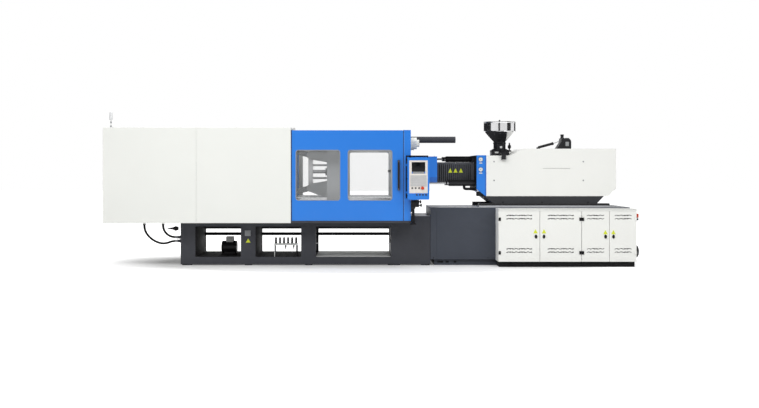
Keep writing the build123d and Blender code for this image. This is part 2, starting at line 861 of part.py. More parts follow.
def front_links():
    """The pair of links between the upper elbow and the moving platen."""
    z0 = AXIS_Z + elbow_rise
    z1 = AXIS_Z + FRONT_RISE
    bar = link_bar(elbow_x, z0, front_pivot_x, z1, front_layer, LINK_WEB, EYE_R)
    for x, z in ((elbow_x, z0), (front_pivot_x, z1)):
        bar -= rod_y(x, front_layer, front_layer + LAYER_T, z, PIN_R + RUN_GAP)
    return both_sides(bar)


def short_links():
    """The pair of short links between the crosshead and the upper rear links."""
    z0 = AXIS_Z + HEAD_RISE
    z1 = AXIS_Z + short_rise
    bar = link_bar(head_x, z0, short_x, z1, SHORT_LAYER, SHORT_WEB, SHORT_EYE_R)
    for x, z in ((head_x, z0), (short_x, z1)):
        bar -= rod_y(x, SHORT_LAYER, SHORT_LAYER + LAYER_T, z, HEAD_PIN_R + RUN_GAP)
    return both_sides(bar)


def lower(shape):
    """The lower twin of a toggle piece."""
    return mirror(shape, about=Plane(origin=(0, 0, AXIS_Z), z_dir=(0, 0, 1)))


def crosshead():
    """The crosshead on its guide rods, with the piston rod and piston of the clamp cylinder."""
    x0 = head_x - HEAD_HALF_X
    x1 = head_x + HEAD_HALF_X
    head = block(x0, x1, -HEAD_HALF_Y, HEAD_HALF_Y, AXIS_Z - HEAD_TOP, AXIS_Z + HEAD_TOP)
    head += block(x0, x1, -GUIDE_OFFSET, GUIDE_OFFSET, AXIS_Z - ARM_HALF_Z, AXIS_Z + ARM_HALF_Z)
    for y in (-GUIDE_OFFSET, GUIDE_OFFSET):
        head += rod_x(x0, x1, y, AXIS_Z, GUIDE_BOSS_R)
        head -= rod_x(x0, x1, y, AXIS_Z, GUIDE_R + RUN_GAP)
    pin_end = SHORT_LAYER + LAYER_T
    head += above_and_below(rod_y(head_x, -pin_end, pin_end, AXIS_Z + HEAD_RISE, HEAD_PIN_R))
    piston_x = tail_back - PISTON_FRONT
    head += rod_x(piston_x, x0, 0, AXIS_Z, ROD_R)
    head += rod_x(piston_x - PISTON_T, piston_x, 0, AXIS_Z, CYL_BORE - RUN_GAP)
    return head


def clamp_cylinder():
    """The hydraulic cylinder that drives the crosshead, flanged to the back of the end platen."""
    length = PISTON_FRONT + PISTON_T + head_stroke + PISTON_BACK + CYL_END
    x0 = tail_back - length
    body = rod_x(x0, tail_back, 0, AXIS_Z, CYL_R)
    body += rod_x(tail_back - CYL_FLANGE_T, tail_back, 0, AXIS_Z, CYL_FLANGE_R)
    body += rod_x(x0, x0 + CYL_END, 0, AXIS_Z, CYL_R + CYL_FLANGE_T / 2)
    body -= rod_x(x0 + CYL_END, tail_back, 0, AXIS_Z, CYL_BORE)
    return body


def safety_bar():
    """The notched bar on the moving platen that drops into the sleeve on the fixed platen."""
    x1 = FIXED_T + SAFETY_SLEEVE - 2 * SLEEVE_END
    bar = rod_x(moving_face, x1, SAFETY_Y, safety_z, SAFETY_R)
    bar += rod_x(moving_face, moving_face + SAFETY_ROOT_T, SAFETY_Y, safety_z, SAFETY_ROOT_R)
    count = int((x1 - moving_face - SAFETY_ROOT_T) // SAFETY_PITCH)
    for n in range(1, count):
        x = moving_face + SAFETY_ROOT_T + n * SAFETY_PITCH
        ring = rod_x(x, x + SAFETY_NOTCH, SAFETY_Y, safety_z, SAFETY_R + RUN_GAP)
        bar -= ring - rod_x(x, x + SAFETY_NOTCH, SAFETY_Y, safety_z, SAFETY_NOTCH_R)
    return bar


def safety_bar_sleeve():
    """The closed sleeve that covers the free end of the safety bar."""
    x1 = FIXED_T + SAFETY_SLEEVE
    sleeve = rod_x(FIXED_T, x1, SAFETY_Y, safety_z, SAFETY_SLEEVE_R)
    sleeve -= rod_x(FIXED_T, x1 - SLEEVE_END, SAFETY_Y, safety_z, SAFETY_R + RUN_GAP)
    return sleeve


def cover_section(x0, x1):
    """A folded cover that spans both sides and the top, with flanges that rest on the base."""
    outline = Rectangle(2 * COVER_HALF, cover_top - BASE_TOP)
    corners = outline.vertices().sort_by(Axis.Y)[-2:]
    outline = fillet(corners, COVER_BEND)
    inner = Rectangle(2 * (COVER_HALF - SHEET), cover_top - BASE_TOP - 2 * SHEET)
    gap = Pos(0, -(cover_top - BASE_TOP) / 2) * Rectangle(2 * (frame_half - FLANGE_IN), 4 * SHEET)
    section = outline - inner - gap
    return extrude(facing_x(x0, 0, (cover_top + BASE_TOP) / 2) * section, amount=x1 - x0)


def clamp_end_cover():
    """The cover over the clamp cylinder, with a closed end wall and cooling slots in it."""
    x1 = cover_right - COVER_SEAM - SEAM_GAP / 2
    cover = cover_section(cover_left, x1)
    wall_y = COVER_HALF - SHEET
    cover += block(cover_left, cover_left + SHEET, -wall_y, wall_y, BASE_TOP, cover_top - SHEET)
    for n in range(VENT_COUNT):
        z = AXIS_Z + (n - VENT_COUNT // 2) * VENT_PITCH
        for y in (-frame_half / 2, frame_half / 2):
            slot = facing_x(cover_left, y, z) * RectangleRounded(VENT_LENGTH, VENT_H, VENT_H / 2 - FIT_GAP)
            cover -= extrude(slot, amount=SHEET)
    return cover


def toggle_cover():
    """The cover over the toggle, open at the end where the doors slide in behind it."""
    x0 = cover_right - COVER_SEAM + SEAM_GAP / 2
    return cover_section(x0, cover_right)


def signal_lamp():
    """A slim pole with two collars and a clear lens, standing on the end cover."""
    x = cover_left + LAMP_FROM_END
    y = -COVER_HALF + LAMP_INSET
    z = cover_top + LAMP_POLE_H
    lamp = rod_z(x, y, cover_top, z, LAMP_POLE_R)
    lamp += rod_z(x, y, z, z + LAMP_H, LAMP_R)
    lamp += rod_z(x, y, cover_top, cover_top + LAMP_CAP_H / 2, LAMP_R)
    for n in range(LAMP_KNOTS):
        knot = z - LAMP_KNOT_H - n * LAMP_KNOT_PITCH
        lamp += rod_z(x, y, knot, knot + LAMP_KNOT_H, LAMP_KNOT_R)
    return lamp


def window_places():
    """The left edge of each window of the front door."""
    return [door_left + WINDOW_FIRST + n * WINDOW_PITCH for n in range(WINDOW_COUNT)]


def front_door():
    """A sliding guard door with two windows and a rebate behind each for its pane."""
    sill = door_low + WINDOW_SILL
    door = window(door_left, door_right, -door_face, -door_back, door_low, door_top, BAY_CORNER)
    rebate_face = -door_face + DOOR_T / 2
    for x in window_places():
        door -= window(x, x + WINDOW_W, -door_face, -door_back, sill, sill + WINDOW_H, WINDOW_CORNER)
        door -= window(
            x - PANE_LAP, x + WINDOW_W + PANE_LAP, rebate_face, -door_back,
            sill - PANE_LAP, sill + WINDOW_H + PANE_LAP, WINDOW_CORNER,
        )
    return door


def front_door_panes():
    """Two clear panes that lie in the rebates of the front door."""
    sill = door_low + WINDOW_SILL
    rebate_face = -door_face + DOOR_T / 2
    lap = PANE_LAP - RUN_GAP
    panes = []
    for x in window_places():
        panes.append(window(
            x - lap, x + WINDOW_W + lap, rebate_face, rebate_face + PANE_T,
            sill - lap, sill + WINDOW_H + lap, WINDOW_CORNER,
        ))
    return group(panes)


def front_door_handle():
    """A straight pull handle on two feet near the door's closing edge."""
    x0 = door_right - HANDLE_FROM_EDGE
    z0 = door_low + HANDLE_RISE
    z1 = z0 + HANDLE_H
    y1 = -door_face
    y0 = y1 - HANDLE_STAND
    handle = window(x0, x0 + HANDLE_W, y0, y0 + HANDLE_BAR_T, z0, z1, HANDLE_ROUND)
    for z in (z0, z1 - HANDLE_FOOT_H):
        handle += block(x0 + RUN_GAP, x0 + HANDLE_W - RUN_GAP, y0 + HANDLE_BAR_T / 2, y1, z + RUN_GAP,
                        z + HANDLE_FOOT_H - RUN_GAP)
    return handle


def to_back(shape):
    """The twin of a front piece on the back of the machine."""
    return mirror(shape, about=Plane.XZ)


def door_track_front():
    """The floor track of the front door with its sill."""
    x0 = door_left - DOOR_STROKE - DOOR_SETBACK
    y0 = -COVER_HALF + SHEET + DOOR_GUIDE_IN
    track = block(x0, guard_right, y0, y0 + TRACK_W, BASE_TOP + SHEET, track_top)
    track += block(door_left + SEAM_GAP, guard_right, y0, -frame_half + FLANGE_IN,
                   BASE_TOP, BASE_TOP + SHEET)
    return track


def door_guide_front():
    """The top guide of the front door, hung from the toggle cover and bolted to the fixed guard."""
    x0 = cover_right - COVER_SEAM + SEAM_GAP
    z1 = door_top - GUIDE_W
    guide = block(x0, guard_right - SHEET, -guide_face, -guide_face + GUIDE_W, z1 - GUIDE_H, z1)
    guide += block(x0, cover_right - SEAM_GAP, -guide_face, -guide_face + GUIDE_W, z1, cover_top - SHEET)
    return guide


def door_tracks():
    """Floor tracks and top guides for the front and rear doors."""
    front = [door_track_front(), door_guide_front()]
    return group(front + [to_back(piece) for piece in front])


def fixed_guard():
    """The folded guard beside the door: a face, a return to the frame and a foot on the base."""
    x0 = door_right + GUARD_LAP
    z1 = door_top + GUARD_OVER_DOOR
    guard = block(x0, guard_right, -door_face, -door_face + SHEET, track_top, z1)
    guard += block(guard_right - SHEET, guard_right, -door_face, -platen_half - SHEET / 2, track_top, z1)
    inner_y = -frame_half + FLANGE_IN
    guard += block(guard_right - SHEET, guard_right, -COVER_HALF + SHEET + DOOR_GUIDE_IN + TRACK_W, inner_y,
                   BASE_TOP + SHEET, track_top)
    return guard


def nozzle_hood():
    """The fixed hood over the nozzle: a top, a back and the post of the purge door."""
    x0 = FIXED_T
    x1 = FIXED_T + NOZZLE_GUARD_L
    z0 = AXIS_Z - NOZZLE_GUARD_LOW
    z1 = AXIS_Z + NOZZLE_GUARD_HIGH
    hood = block(x0, x1, -NOZZLE_GUARD_FRONT, NOZZLE_GUARD_BACK, z1 - SHEET, z1)
    hood += block(x0, x1, NOZZLE_GUARD_BACK - SHEET, NOZZLE_GUARD_BACK, z0, z1)
    post_x = FIXED_T + GUARD_POST_INSET
    post_y = -NOZZLE_GUARD_FRONT + GUARD_POST_INSET
    hood += rod_z(post_x, post_y, z0 - SHEET, z1 - SHEET, GUARD_POST_R)
    hood += block(x0, post_x + GUARD_POST_INSET, post_y - GUARD_POST_INSET, post_y + GUARD_POST_INSET,
                  z0 - 2 * SHEET, z0 - SHEET)
    return hood


def fixed_guards():
    """The front and rear fixed guards and the hood over the nozzle."""
    guard = fixed_guard()
    return group([guard, to_back(guard), nozzle_hood()])


def nozzle_guard():
    """The purge door in front of the nozzle, hung on the hood's post."""
    post_x = FIXED_T + GUARD_POST_INSET
    post_y = -NOZZLE_GUARD_FRONT + GUARD_POST_INSET
    z0 = AXIS_Z - NOZZLE_GUARD_LOW
    z1 = AXIS_Z + NOZZLE_GUARD_HIGH - SHEET - RUN_GAP
    x1 = FIXED_T + NOZZLE_GUARD_L
    face_y = post_y - GUARD_KNUCKLE_R
    door = block(post_x, x1, face_y, face_y + SHEET, z0, z1)
    door += block(x1 - SHEET, x1, face_y, face_y + GUARD_KNUCKLE_R + SHEET, z0, z1)
    door += rod_z(post_x, post_y, z0, z1, GUARD_KNUCKLE_R)
    door -= rod_z(post_x, post_y, z0, z1, GUARD_POST_R + FIT_GAP)
    return door


def hmi_bracket():
    """The arm on the fixed guard that carries the panel's post, and the conduit down to the base."""
    arm_low = PANEL_LOW - POST_DROP
    bracket = block(guard_right, POST_X, post_y - POST_R, post_y + POST_R, arm_low - POST_ARM_H, arm_low)
    bracket += block(guard_right, guard_right + POST_PLATE_T, post_y, -door_face + POST_PLATE_DEPTH,
                     arm_low - POST_PLATE_H, arm_low)
    bracket += rod_z(POST_X, post_y, arm_low - POST_ARM_H, arm_low, KNUCKLE_R)
    bracket += rod_z(POST_X, post_y, arm_low, arm_low + KNUCKLE_H + POST_R, POST_R)
    sill = BASE_TOP + SHEET
    bracket += rod_z(POST_X, post_y, sill, arm_low, POST_R)
    bracket += rod_z(POST_X, post_y, sill - CONDUIT_FOOT_H, sill, CONDUIT_FOOT_R)
    bracket += block(guard_right + SEAM_GAP, POST_X + CONDUIT_FOOT_R, post_y, -frame_half,
                     sill - CONDUIT_FOOT_H, sill)
    return bracket


def hmi_housing():
    """The operator panel: a housing with a framed fascia, a screen recess, buttons' bores and a knuckle."""
    z1 = PANEL_LOW + PANEL_H
    body = window(panel_x0, panel_x1, panel_front, panel_back, PANEL_LOW, z1, PANEL_CORNER)
    fascia_low = z1 - FASCIA_TOP - FASCIA_H
    body -= window(
        panel_x0 + FASCIA_SIDE, panel_x1 - FASCIA_SIDE, panel_front, panel_front + FASCIA_DEPTH,
        fascia_low, z1 - FASCIA_TOP, PANEL_CORNER / 2,
    )
    screen_x = (panel_x0 + panel_x1 - SCREEN_W) / 2
    screen_top = z1 - FASCIA_TOP - SCREEN_TOP
    face = panel_front + FASCIA_DEPTH
    body -= window(
        screen_x, screen_x + SCREEN_W, face, face + SCREEN_DEPTH,
        screen_top - SCREEN_H, screen_top, SCREEN_CORNER,
    )
    for x in button_places():
        body -= rod_y(x, face, face + BUTTON_BORE_DEPTH, button_z, BUTTON_R + RUN_GAP)
    body -= rod_y(stop_x, face, face + BUTTON_BORE_DEPTH, button_z, STOP_STEM_R + RUN_GAP)
    for n in range(KEY_COUNT):
        x = panel_x0 + KEY_FIRST + n * KEY_PITCH
        body += rod_y(x, panel_front - KEY_T, panel_front, PANEL_LOW + KEY_RISE, KEY_R)
    knuckle_top = PANEL_LOW + PANEL_CORNER
    knuckle = rod_z(POST_X, post_y, PANEL_LOW - POST_DROP + RUN_GAP, knuckle_top, KNUCKLE_R)
    arm_x = KNUCKLE_R / 2
    knuckle += block(POST_X - arm_x, POST_X + arm_x, panel_back - POST_R, post_y,
                     PANEL_LOW - KNUCKLE_H / 2, knuckle_top)
    knuckle -= rod_z(POST_X, post_y, PANEL_LOW - POST_DROP, PANEL_LOW - POST_DROP + KNUCKLE_H + 2 * POST_R,
                     POST_R + FIT_GAP)
    return body + knuckle


def button_places():
    """The middles of the three push buttons; the stop button is the fourth in the row."""
    return [panel_x0 + BUTTON_FIRST + n * BUTTON_PITCH for n in range(BUTTON_COUNT)]


def push_button(x):
    """A round push button that slides in its bore in the fascia."""
    face = panel_front + FASCIA_DEPTH
    back = face + BUTTON_BORE_DEPTH - BUTTON_TRAVEL - RUN_GAP
    return rod_y(x, face - BUTTON_T, back, button_z, BUTTON_R)


def emergency_stop():
    """A mushroom button on a stem."""
    face = panel_front + FASCIA_DEPTH
    back = face + BUTTON_BORE_DEPTH - STOP_TRAVEL - RUN_GAP
    button = rod_y(stop_x, face - STOP_STAND, back, button_z, STOP_STEM_R)
    cap_y = face - STOP_STAND
    cap = rod_y(stop_x, cap_y - STOP_STAND, cap_y, button_z, STOP_R)
    cap = fillet(cap.edges().sort_by(Axis.Y)[0], STOP_EDGE)
    return button + cap


def injection_base():
    """The closed base of the injection unit: a column, a body and a recessed plinth."""
    base = block(injection_left, injection_right, -frame_half, frame_half, PLINTH_H, INJECTION_TOP)
    column_y = frame_half + COLUMN_STAND
    base += block(injection_left, injection_left + COLUMN_W, -column_y, column_y, PLINTH_H, INJECTION_TOP)
    inner = BASE_WALL
    base -= block(injection_left + inner, injection_right - inner, -frame_half + inner, frame_half - inner,
                  PLINTH_H, INJECTION_TOP - inner)
    plinth_y = frame_half - PLINTH_INSET
    plinth_left = injection_left + PLINTH_INSET
    plinth_right = injection_right - PLINTH_INSET
    base += block(plinth_left, plinth_right, -plinth_y, -plinth_y + inner, 0, PLINTH_H)
    base += block(plinth_left, plinth_right, plinth_y - inner, plinth_y, 0, PLINTH_H)
    for x in (plinth_left, plinth_right - inner):
        base += block(x, x + inner, -plinth_y, plinth_y, 0, PLINTH_H)
    for y0, y1 in ((-frame_half, -plinth_y + inner), (plinth_y - inner, frame_half)):
        base += block(injection_left, injection_right, y0, y1, PLINTH_H, PLINTH_H + inner)
    return base


def injection_rails():
    """Two rails with chamfered heads for the carriage."""
    x1 = rail_left + RAIL_LENGTH
    y0 = -RAIL_HALF
    head = RAIL_H / 2
    side = [
        (y0 + RAIL_CORNER, INJECTION_TOP),
        (y0 + RAIL_W - RAIL_CORNER, INJECTION_TOP),
        (y0 + RAIL_W - RAIL_CORNER, INJECTION_TOP + head),
        (y0 + RAIL_W, INJECTION_TOP + head + RAIL_CORNER),
        (y0 + RAIL_W, rail_top),
        (y0, rail_top),
        (y0, INJECTION_TOP + head + RAIL_CORNER),
        (y0 + RAIL_CORNER, INJECTION_TOP + head),
    ]
    rail = profile_x(side, rail_left, x1)
    return group([rail, to_back(rail)])


def cabinet_shell():
    """The electrical cabinet: an open box with a lintel and a recessed kick plate."""
    shell = block(cabinet_left, cabinet_right, -cabinet_face, -cabinet_back, CABINET_LOW, CABINET_TOP)
    wall = CABINET_WALL
    shell -= block(cabinet_left + wall, cabinet_right - wall, -cabinet_face, -cabinet_back - wall,
                   CABINET_LOW + wall, CABINET_TOP - wall)
    shell += block(cabinet_left + wall, injection_right, -cabinet_face + CABINET_KICK, -cabinet_back,
                   0, CABINET_LOW)
    shell += block(cabinet_left, cabinet_right, -COVER_HALF, -cabinet_face,
                   CABINET_TOP - CABINET_LINTEL, CABINET_TOP)
    stem_y = -cabinet_face + SWITCH_FROM_FRONT
    stem_z = CABINET_LOW + SWITCH_RISE
    shell -= rod_x(cabinet_right - SWITCH_STEM_DEPTH, cabinet_right, stem_y, stem_z, SWITCH_STEM_R + RUN_GAP)
    return shell


def cabinet_edges():
    """The edges between the four doors, worked out from their shares of the cabinet's length."""
    edges = [cabinet_left]
    for share in DOOR_SHARES:
        edges.append(edges[-1] + share * CABINET_LENGTH / sum(DOOR_SHARES))
    return edges


def louvre_row(x0, x1, z):
    """Short cooling slots in a staggered row."""
    slots = []
    count = int((x1 - x0) // LOUVRE_PITCH)
    for n in range(count):
        x = x0 + (n + 1 / 2) * (x1 - x0) / count
        rise = LOUVRE_H * (n % 2)
        slots.append(block(x - LOUVRE_W / 2, x + LOUVRE_W / 2, -COVER_HALF, -COVER_HALF + CABINET_DOOR_T,
                           z + rise, z + rise + LOUVRE_H))
    return slots


def cabinet_door(index):
    """A cabinet door with louvres, two hinge knuckles and an oval lock."""
    edges = cabinet_edges()
    x0 = edges[index] + CABINET_DOOR_GAP / 2
    x1 = edges[index + 1] - CABINET_DOOR_GAP / 2
    z1 = CABINET_TOP - CABINET_LINTEL - CABINET_DOOR_GAP / 2
    hinge_left = index in (0, 2)
    back_y = -COVER_HALF + CABINET_DOOR_T
    door = block(x0, x1, -COVER_HALF, back_y, CABINET_LOW, z1)
    hinge_x = x0 if hinge_left else x1
    relief = CABINET_HINGE_R - HINGE_RELIEF
    towards = 1 if hinge_left else -1
    corner = [(hinge_x, back_y), (hinge_x + towards * relief, back_y), (hinge_x, back_y - relief)]
    foot = Plane.XY.offset(CABINET_LOW) * Polygon(*corner, align=None)
    wedge = extrude(foot, amount=z1 - CABINET_LOW, dir=(0, 0, 1))
    door -= wedge
    for rise in LOUVRE_RISES:
        for slot in louvre_row(x0 + LOUVRE_SIDE, x1 - LOUVRE_SIDE, CABINET_LOW + rise):
            door -= slot
    axis_x, axis_y = cabinet_hinge(index)
    for rise in (CABINET_HINGE_LOW, CABINET_HINGE_HIGH):
        z = CABINET_LOW + rise - (0 if index == 1 else -CABINET_HINGE_H / 2)
        door += rod_z(axis_x, axis_y, z - CABINET_HINGE_H / 2, z, CABINET_HINGE_R)
    lock_x = x1 - LOCK_FROM_EDGE if hinge_left else x0 + LOCK_FROM_EDGE
    lock_z = CABINET_LOW + LOCK_RISE
    lock = facing_y(lock_x, -COVER_HALF, lock_z) * Ellipse(LOCK_W / 2, LOCK_H / 2)
    return door + extrude(lock, amount=LOCK_T)


def cabinet_hinge(index):
    """The place of a door's hinge axis in plan."""
    edges = cabinet_edges()
    y = -COVER_HALF - SHEET / 2
    if index in (0, 2):
        return edges[index] + CABINET_DOOR_GAP / 2 + CABINET_HINGE_R, y
    return edges[index + 1] - CABINET_DOOR_GAP / 2 - CABINET_HINGE_R, y


def electrical_panel():
    """A mounting plate with two rows of plain drive units inside the cabinet."""
    inset = PANEL_PLATE_INSET
    back_y = -cabinet_back - CABINET_WALL
    x0 = cabinet_left + inset
    x1 = cabinet_right - inset
    z0 = CABINET_LOW + inset
    z1 = CABINET_TOP - inset
    plate = block(x0, x1, back_y - PANEL_PLATE_T, back_y, z0, z1)
    pitch_x = (x1 - x0) / UNIT_COLUMNS
    pitch_z = (z1 - z0) / UNIT_ROWS
    for column in range(UNIT_COLUMNS):
        for row in range(UNIT_ROWS):
            x = x0 + (column + 1 / 2) * pitch_x
            z = z0 + (row + 1 / 2) * pitch_z
            plate += block(x - UNIT_W / 2, x + UNIT_W / 2, back_y - PANEL_PLATE_T - UNIT_T,
                           back_y - PANEL_PLATE_T, z - UNIT_H / 2, z + UNIT_H / 2)
    return plate


def main_switch():
    """The rotary main switch with a grip across its face."""
    y = -cabinet_face + SWITCH_FROM_FRONT
    z = CABINET_LOW + SWITCH_RISE
    x0 = cabinet_right + RUN_GAP
    knob = rod_x(x0, x0 + SWITCH_T / 2, y, z, SWITCH_R)
    grip = SWITCH_GRIP
    knob += block(x0 + SWITCH_T / 2, x0 + SWITCH_T, y - grip, y + grip,
                  z - SWITCH_R + grip, z + SWITCH_R - grip)
    return knob + rod_x(cabinet_right - SWITCH_STEM_DEPTH + RUN_GAP, x0, y, z, SWITCH_STEM_R)


def fan_cowl():
    """A domed cowl over the cabinet's fan."""
    y = -cabinet_face + COWL_FROM_FRONT
    z = CABINET_LOW + COWL_RISE
    dome_r = (COWL_R**2 + COWL_T**2) / (2 * COWL_T)
    ball = Pos(right_end - dome_r, y, z) * Rot(0, 0, 180) * Sphere(dome_r)
    outside = block(cabinet_right, cabinet_right + dome_r, y - dome_r, y + dome_r, z - dome_r, z + dome_r)
    return ball & outside


def carriage_frame():
    """The sled with the barrel pedestal, two injection cylinders and a tail plate."""
    outline = [
        (sled_left, sled_top),
        (sled_left + SLED_FOOT_BACK, sled_low),
        (sled_right - SLED_FOOT_FRONT, sled_low),
        (sled_right, sled_top),
    ]
    frame = profile_y(outline, -RAIL_HALF, RAIL_HALF)
    frame -= block(sled_left + PEDESTAL_X, sled_right - PEDESTAL_X, -RAIL_HALF + RAIL_W, RAIL_HALF - RAIL_W,
                   sled_low, sled_low + SLED_H / 2)
    top = AXIS_Z + PEDESTAL_TOP
    frame += block(pedestal_left, pedestal_right, -PEDESTAL_HALF, PEDESTAL_HALF, sled_top, top)
    frame += block(hopper_x - HOPPER_BLOCK_HALF, hopper_x + HOPPER_BLOCK_HALF,
                   -HOPPER_BLOCK_HALF, HOPPER_BLOCK_HALF, top, AXIS_Z + HOPPER_BLOCK_BASE)
    frame -= rod_x(pedestal_left, pedestal_right, 0, AXIS_Z, BARREL_R + FIT_GAP)
    frame -= rod_z(hopper_x, 0, AXIS_Z, AXIS_Z + HOPPER_BLOCK_BASE, THROAT_R + THROAT_STEP)
    for y in (-INJECTION_CYL_Y, INJECTION_CYL_Y):
        end = pedestal_right + INJECTION_CYL_L
        frame += rod_x(pedestal_right, end, y, AXIS_Z, INJECTION_CYL_R)
        frame -= rod_x(pedestal_right + BASE_WALL, end, y, AXIS_Z, INJECTION_ROD_R + RUN_GAP)
    tail_right = sled_right - TAIL_PLATE_BACK
    frame += block(tail_right - TAIL_PLATE_T, tail_right, -PEDESTAL_HALF, PEDESTAL_HALF, sled_top, top)
    return frame


def carriage_front_panel():
    """The front plate of the carriage with its lower corner cut and bores for barrel and cylinders."""
    z0 = AXIS_Z - FRONT_PLATE_LOW
    z1 = AXIS_Z + FRONT_PLATE_HIGH
    outline = [
        (FRONT_PLATE_X, z1),
        (FRONT_PLATE_X, z0 + FRONT_PLATE_CUT_H),
        (FRONT_PLATE_X + FRONT_PLATE_CUT_W, z0),
        (front_plate_end, z0),
        (front_plate_end, z1),
    ]
    plate = profile_y(outline, -CARRIAGE_HALF, CARRIAGE_HALF)
    plate -= rod_x(FRONT_PLATE_X, front_plate_end, 0, AXIS_Z, BARREL_R + RUN_GAP)
    for y, rise in traverse_places():
        plate -= rod_x(FRONT_PLATE_X, FRONT_PLATE_X + TRAVERSE_PLATE_BORE, y, AXIS_Z + rise,
                       TRAVERSE_ROD_R + RUN_GAP)
    return plate


def traverse_places():
    return ((-TRAVERSE_Y, TRAVERSE_LOW), (TRAVERSE_Y, TRAVERSE_HIGH))


def carriage_cover():
    """The pale sheet cover over the carriage, stepped on top, with a slot for the motor."""
    x0 = front_plate_end
    x1 = x0 + COVER_RUN
    z0 = AXIS_Z - COVER_LOW
    outer = [
        (x0, z0),
        (x0, AXIS_Z + COVER_STEP),
        (x0 + COVER_STEP_X, AXIS_Z + COVER_STEP),
        (x0 + COVER_STEP_X + COVER_SLOPE_X, AXIS_Z + COVER_HIGH),
        (x1, AXIS_Z + COVER_HIGH),
        (x1, z0 + COVER_CHAMFER),
        (x1 - COVER_CHAMFER, z0),
    ]
    cover = profile_y(outer, -CARRIAGE_HALF, CARRIAGE_HALF)
    slope = SHEET * (1 - COVER_SLOPE_X / (COVER_SLOPE_X + COVER_HIGH - COVER_STEP))
    inner = [
        (x0, z0),
        (x0, AXIS_Z + COVER_STEP - SHEET),
        (x0 + COVER_STEP_X + slope, AXIS_Z + COVER_STEP - SHEET),
        (x0 + COVER_STEP_X + COVER_SLOPE_X + slope, AXIS_Z + COVER_HIGH - SHEET),
        (x1 - SHEET, AXIS_Z + COVER_HIGH - SHEET),
        (x1 - SHEET, z0 + COVER_CHAMFER),
        (x1 - SHEET - COVER_CHAMFER, z0),
    ]
    half = CARRIAGE_HALF - SHEET
    cover -= profile_y(inner, -half, half)
    block_half = HOPPER_BLOCK_HALF + RUN_GAP
    cover -= block(hopper_x - block_half, hopper_x + block_half, -block_half, block_half,
                   AXIS_Z, AXIS_Z + COVER_HIGH)
    slot_x0 = RAM_X + RAM_T / 2 - MOTOR_NECK_HALF - SLOT_FRONT
    cover -= block(slot_x0, slot_x0 + SLOT_BACK + 2 * MOTOR_NECK_HALF, -SLOT_HALF, SLOT_HALF,
                   AXIS_Z + COVER_STEP, AXIS_Z + COVER_HIGH)
    return cover


def traverse_cylinders():
    """Two hydraulic cylinders that pull the carriage to the fixed platen."""
    cylinders = []
    for y, rise in traverse_places():
        x0 = FRONT_PLATE_X - TRAVERSE_L
        z = AXIS_Z + rise
        body = rod_x(x0, FRONT_PLATE_X, y, z, TRAVERSE_R)
        body += rod_x(x0 - GLAND_L, x0, y, z, GLAND_R)
        body -= rod_x(x0 - GLAND_L, FRONT_PLATE_X, y, z, TRAVERSE_ROD_R + RUN_GAP)
        cylinders.append(body)
    return group(cylinders)


def traverse_rods():
    """The rods of the traverse cylinders, flanged to the fixed platen."""
    rods = []
    for y, rise in traverse_places():
        z = AXIS_Z + rise
        rod = rod_x(FIXED_T, TRAVERSE_REACH, y, z, TRAVERSE_ROD_R)
        rod += rod_x(FIXED_T, FIXED_T + ROD_FLANGE_T, y, z, ROD_FLANGE_R)
        rods.append(rod)
    return group(rods)


def barrel():
    """The barrel with its nozzle, adapter and heater bands."""
    x0 = NOZZLE_SETBACK
    x1 = x0 + NOZZLE_L
    x2 = x1 + ADAPTER_L
    nozzle = Cone(NOZZLE_TIP_R, NOZZLE_NECK_R, NOZZLE_TIP_L)
    body = Pos(x0 + NOZZLE_TIP_L / 2, 0, AXIS_Z) * Rot(0, 90, 0) * nozzle
    body += rod_x(x0 + NOZZLE_TIP_L, x1, 0, AXIS_Z, NOZZLE_NECK_R)
    body += rod_x(x1, x2, 0, AXIS_Z, ADAPTER_R)
    body += rod_x(x2, barrel_end, 0, AXIS_Z, BARREL_R)
    for n in range(BAND_COUNT):
        band = x2 + BAND_PITCH - BAND_L + n * BAND_PITCH
        body += rod_x(band, band + BAND_L, 0, AXIS_Z, BAND_R)
    body -= rod_x(x2, barrel_end, 0, AXIS_Z, BARREL_BORE)
    body -= rod_x(x0, x2, 0, AXIS_Z, NOZZLE_HOLE_R)
    body -= rod_z(hopper_x, 0, AXIS_Z, AXIS_Z + BARREL_R, THROAT_R / 2)
    return body


def barrel_heat_cover():
    """The slotted guard around the heater bands."""
    x1 = FRONT_PLATE_X
    x0 = x1 - HEAT_COVER_L
    z0 = AXIS_Z - HEAT_COVER_LOW
    z1 = AXIS_Z + HEAT_COVER_HIGH
    wall = HEAT_COVER_WALL
    cover = block(x0, x1, -HEAT_COVER_HALF, HEAT_COVER_HALF, z0, z1)
    cover -= block(x0, x1, -HEAT_COVER_HALF + wall, HEAT_COVER_HALF - wall, z0 + wall, z1 - wall)
    count = int((HEAT_COVER_L - 2 * HEAT_SLOT_MARGIN) // HEAT_SLOT_PITCH)
    for n in range(count):
        x = x0 + HEAT_SLOT_MARGIN + n * HEAT_SLOT_PITCH
        cover -= block(x, x + HEAT_SLOT_W, -HEAT_COVER_HALF, HEAT_COVER_HALF,
                       z0 + HEAT_SLOT_MARGIN, z1 - HEAT_SLOT_MARGIN)
    return cover


